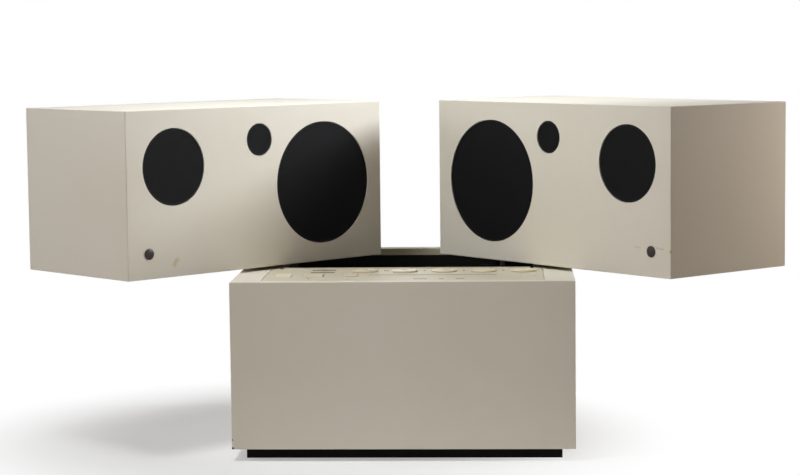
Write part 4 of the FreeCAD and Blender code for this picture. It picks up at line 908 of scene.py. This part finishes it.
# rolled rim round each grille, worked out on the shut speaker
def makeGrilleRims():
    look = rimLook
    for side, way in (("left", 1), ("right", -1)):
        turn = turnToShut(side)
        shut = [turn @ v.co for v in nodes[side + "_grilles"].data.vertices]
        face = max(v.x * way for v in shut) * way
        bm = bmesh.new()
        for driver in drivers:
            low, high = shutBox(turn, [side + "_" + driver])
            middle = (low + high) / 2
            reach = (high.z - low.z) / 2 + look["gap"]
            near = [v for v in shut if (Vector((v.y, v.z)) - Vector((middle.y, middle.z))).length < reach]
            front, rear = min(v.y for v in near), max(v.y for v in near)
            bottom, top = min(v.z for v in near), max(v.z for v in near)
            radius = (top - bottom) / 2 - look["width"] / 2
            ring = keepShape("rim", ridgeRing(radius, look["width"], look["height"]))
            centre = Vector((face, (rear + front) / 2, (top + bottom) / 2))
            stamp(bm, ring, turn.inverted() @ facing(centre, (way, 0, 0)))
            bpy.data.meshes.remove(ring)
        addPiece(side + "GrilleRims", side + "_speaker", finishes["blackEnamel"], bm)


speedPrint = {"reach": 20 * mm, "height": 6 * mm, "turns": {"33": 35, "45": -25}}


# the two speeds on the deck, beside their knob
def makeSpeedPrint():
    look = speedPrint
    low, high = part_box("speed_knob")
    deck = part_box("deck_plate")[1].z
    bm = bmesh.new()
    for words, turn in look["turns"].items():
        way = Vector((math.cos(math.radians(turn)), math.sin(math.radians(turn)), 0))
        spot = (low + high) / 2 + way * look["reach"]
        printNumber(bm, words, (spot.x, spot.y, deck), look["height"])
    addPiece("speedPrint", "base", finishes["paleInk"], bm, smooth=False)


makePanelPrint()
makeDialPrintAndShade()
makeMeterPrintAndShade()
makeKnobMarks()
makeScrews()
makeContacts()
makeMatRidges()
makeGrilleRims()
makeSpeedPrint()
print("new pieces made")


# stage: pale floor, soft light, camera
floorLook = {
    "radius": 60.0,
    "paper": (0.88, 0.88, 0.88, 1),
    "creaseShade": (0.82, 0.82, 0.82, 1),
    "creaseShadeScale": 5.0,
    "creaseShadeShare": 0.4,
    "roughness": 0.9,
    "nearGlow": 0.35,  # share of plain white that the camera sees close to the object
    "shadeCentre": (-0.17, -0.05, 0),
    "nearEdge": 0.24,
    "farEdge": 0.6,
}


def makeFloor():
    look = floorLook
    bm = bmesh.new()
    bmesh.ops.create_circle(bm, cap_ends=True, radius=look["radius"], segments=96)
    mesh = keepShape("paleFloor", bm)
    floor = bpy.data.objects.new("paleFloor", mesh)
    bpy.context.scene.collection.objects.link(floor)
    finish = Finish("palePaper", roughness=look["roughness"], specularIorLevel=0.0)
    place = finish.coords()
    # painted shade: the paper is darker in patches, like the shade in creases
    creaseShading = finish.noise(place, look["creaseShadeScale"], 3.0).fade(0.45, 0.8)
    finish.feed(baseColor=finish.mix(look["paper"], look["creaseShade"], creaseShading * look["creaseShadeShare"]))
    rays = [finish.node("LightPath", {}, {}, out=name) for name in
            ("Is Camera Ray", "Is Glossy Ray", "Is Transmission Ray")]
    seen = rays[0].most(rays[1]).most(rays[2])
    away = finish.distance(place, look["shadeCentre"]).fade(look["nearEdge"], look["farEdge"])
    glow = look["nearGlow"] + away * (1 - look["nearGlow"])
    white = finish.node("Emission", {}, {"Color": (1, 1, 1, 1), "Strength": 1.0})
    finish.blend(seen * glow, finish.coat(), white)
    mesh.materials.append(finish.material)


# soft boxes; spread is the width of the beam in degrees, narrow where the box has a grid
lamps = {
    "rightBox": {"place": (1.09, 0.28, 1.08), "aim": (-0.3, -0.05, 0.6), "size": (0.35, 0.55),
                 "spread": 50, "watts": 3.0, "tint": (0.91, 0.95, 1.0)},
    "leftBox": {"place": (-1.8, -0.2, 0.95), "aim": (0.3, -0.05, 0.45), "size": (0.6, 0.6),
                "spread": 180, "watts": 7.4, "tint": (0.92, 0.945, 1.0)},
    "panelBox": {"place": (-0.5, -0.6, 1.7), "aim": (0.05, -0.15, 0.3), "size": (0.4, 0.4),
                 "spread": 60, "watts": 2.2, "tint": (0.92, 0.965, 1.0)},
    "rimBox": {"place": (1.0, 0.0, 0.45), "aim": (0.45, -0.2, 0.4), "size": (0.2, 0.3),
               "spread": 180, "watts": 1.35, "tint": (1.0, 0.85, 0.74)},
    "frontBox": {"place": (-0.8, -2.0, 0.9), "aim": (0.1, 0, 0.35), "size": (1.2, 1.2),
                 "spread": 180, "watts": 5.1, "tint": (1.0, 0.90, 0.83)},
}


def makeLamp(name, look):
    light = bpy.data.lights.new(name, "AREA")
    light.shape = "RECTANGLE"
    light.size, light.size_y = look["size"]
    light.spread = math.radians(look["spread"])
    light.energy = look["watts"]
    light.color = look["tint"]
    lamp = bpy.data.objects.new(name, light)
    bpy.context.scene.collection.objects.link(lamp)
    beam = Vector(look["aim"]) - Vector(look["place"])
    lamp.location = look["place"]
    lamp.rotation_euler = beam.to_track_quat("-Z", "Y").to_euler()
    lamp.visible_camera = False


room = {"tint": (1, 0.82, 0.62, 1), "strength": 0.10}


# even warm light from all round, plain white where the camera or a gloss looks at it
def makeRoom():
    world = bpy.data.worlds.new("softRoom")
    world.use_nodes = True
    tree = world.node_tree
    rays = tree.nodes.new("ShaderNodeLightPath")
    eyes = tree.nodes.new("ShaderNodeMath")
    eyes.operation = "MAXIMUM"
    tree.links.new(rays.outputs["Is Camera Ray"], eyes.inputs[0])
    tree.links.new(rays.outputs["Is Glossy Ray"], eyes.inputs[1])
    soft = tree.nodes["Background"]
    soft.inputs["Color"].default_value = room["tint"]
    soft.inputs["Strength"].default_value = room["strength"]
    white = tree.nodes.new("ShaderNodeBackground")
    white.inputs["Color"].default_value = (1, 1, 1, 1)
    both = tree.nodes.new("ShaderNodeMixShader")
    tree.links.new(eyes.outputs[0], both.inputs[0])
    tree.links.new(soft.outputs[0], both.inputs[1])
    tree.links.new(white.outputs[0], both.inputs[2])
    tree.links.new(both.outputs[0], tree.nodes["World Output"].inputs["Surface"])
    bpy.context.scene.world = world


camera = {
    "place": (0.153844, -3.429755, 0.638309),
    "yaw": -2.801,
    "pitch": 5.484,
    "roll": 0.607,
    "focalPixels": 2177.1,
    "imageWidth": 800,
    "sensor": 36,
}


def makeCamera():
    yaw, pitch, roll = (math.radians(camera[key]) for key in ("yaw", "pitch", "roll"))
    ahead = Vector((math.sin(yaw) * math.cos(pitch), math.cos(yaw) * math.cos(pitch), -math.sin(pitch)))
    lens = bpy.data.cameras.new("photoView")
    lens.sensor_width = camera["sensor"]
    lens.lens = camera["focalPixels"] * camera["sensor"] / camera["imageWidth"]
    view = bpy.data.objects.new("photoView", lens)
    bpy.context.scene.collection.objects.link(view)
    view.rotation_mode = "QUATERNION"
    view.rotation_quaternion = ahead.to_track_quat("-Z", "Y") @ Quaternion((0, 0, 1), -roll)
    view.location = camera["place"]
    bpy.context.scene.camera = view


makeFloor()
for name, look in lamps.items():
    makeLamp(name, look)
makeRoom()
makeCamera()
bpy.context.scene.view_settings.view_transform = "Standard"
print("stage set with", len(lamps), "lamps")
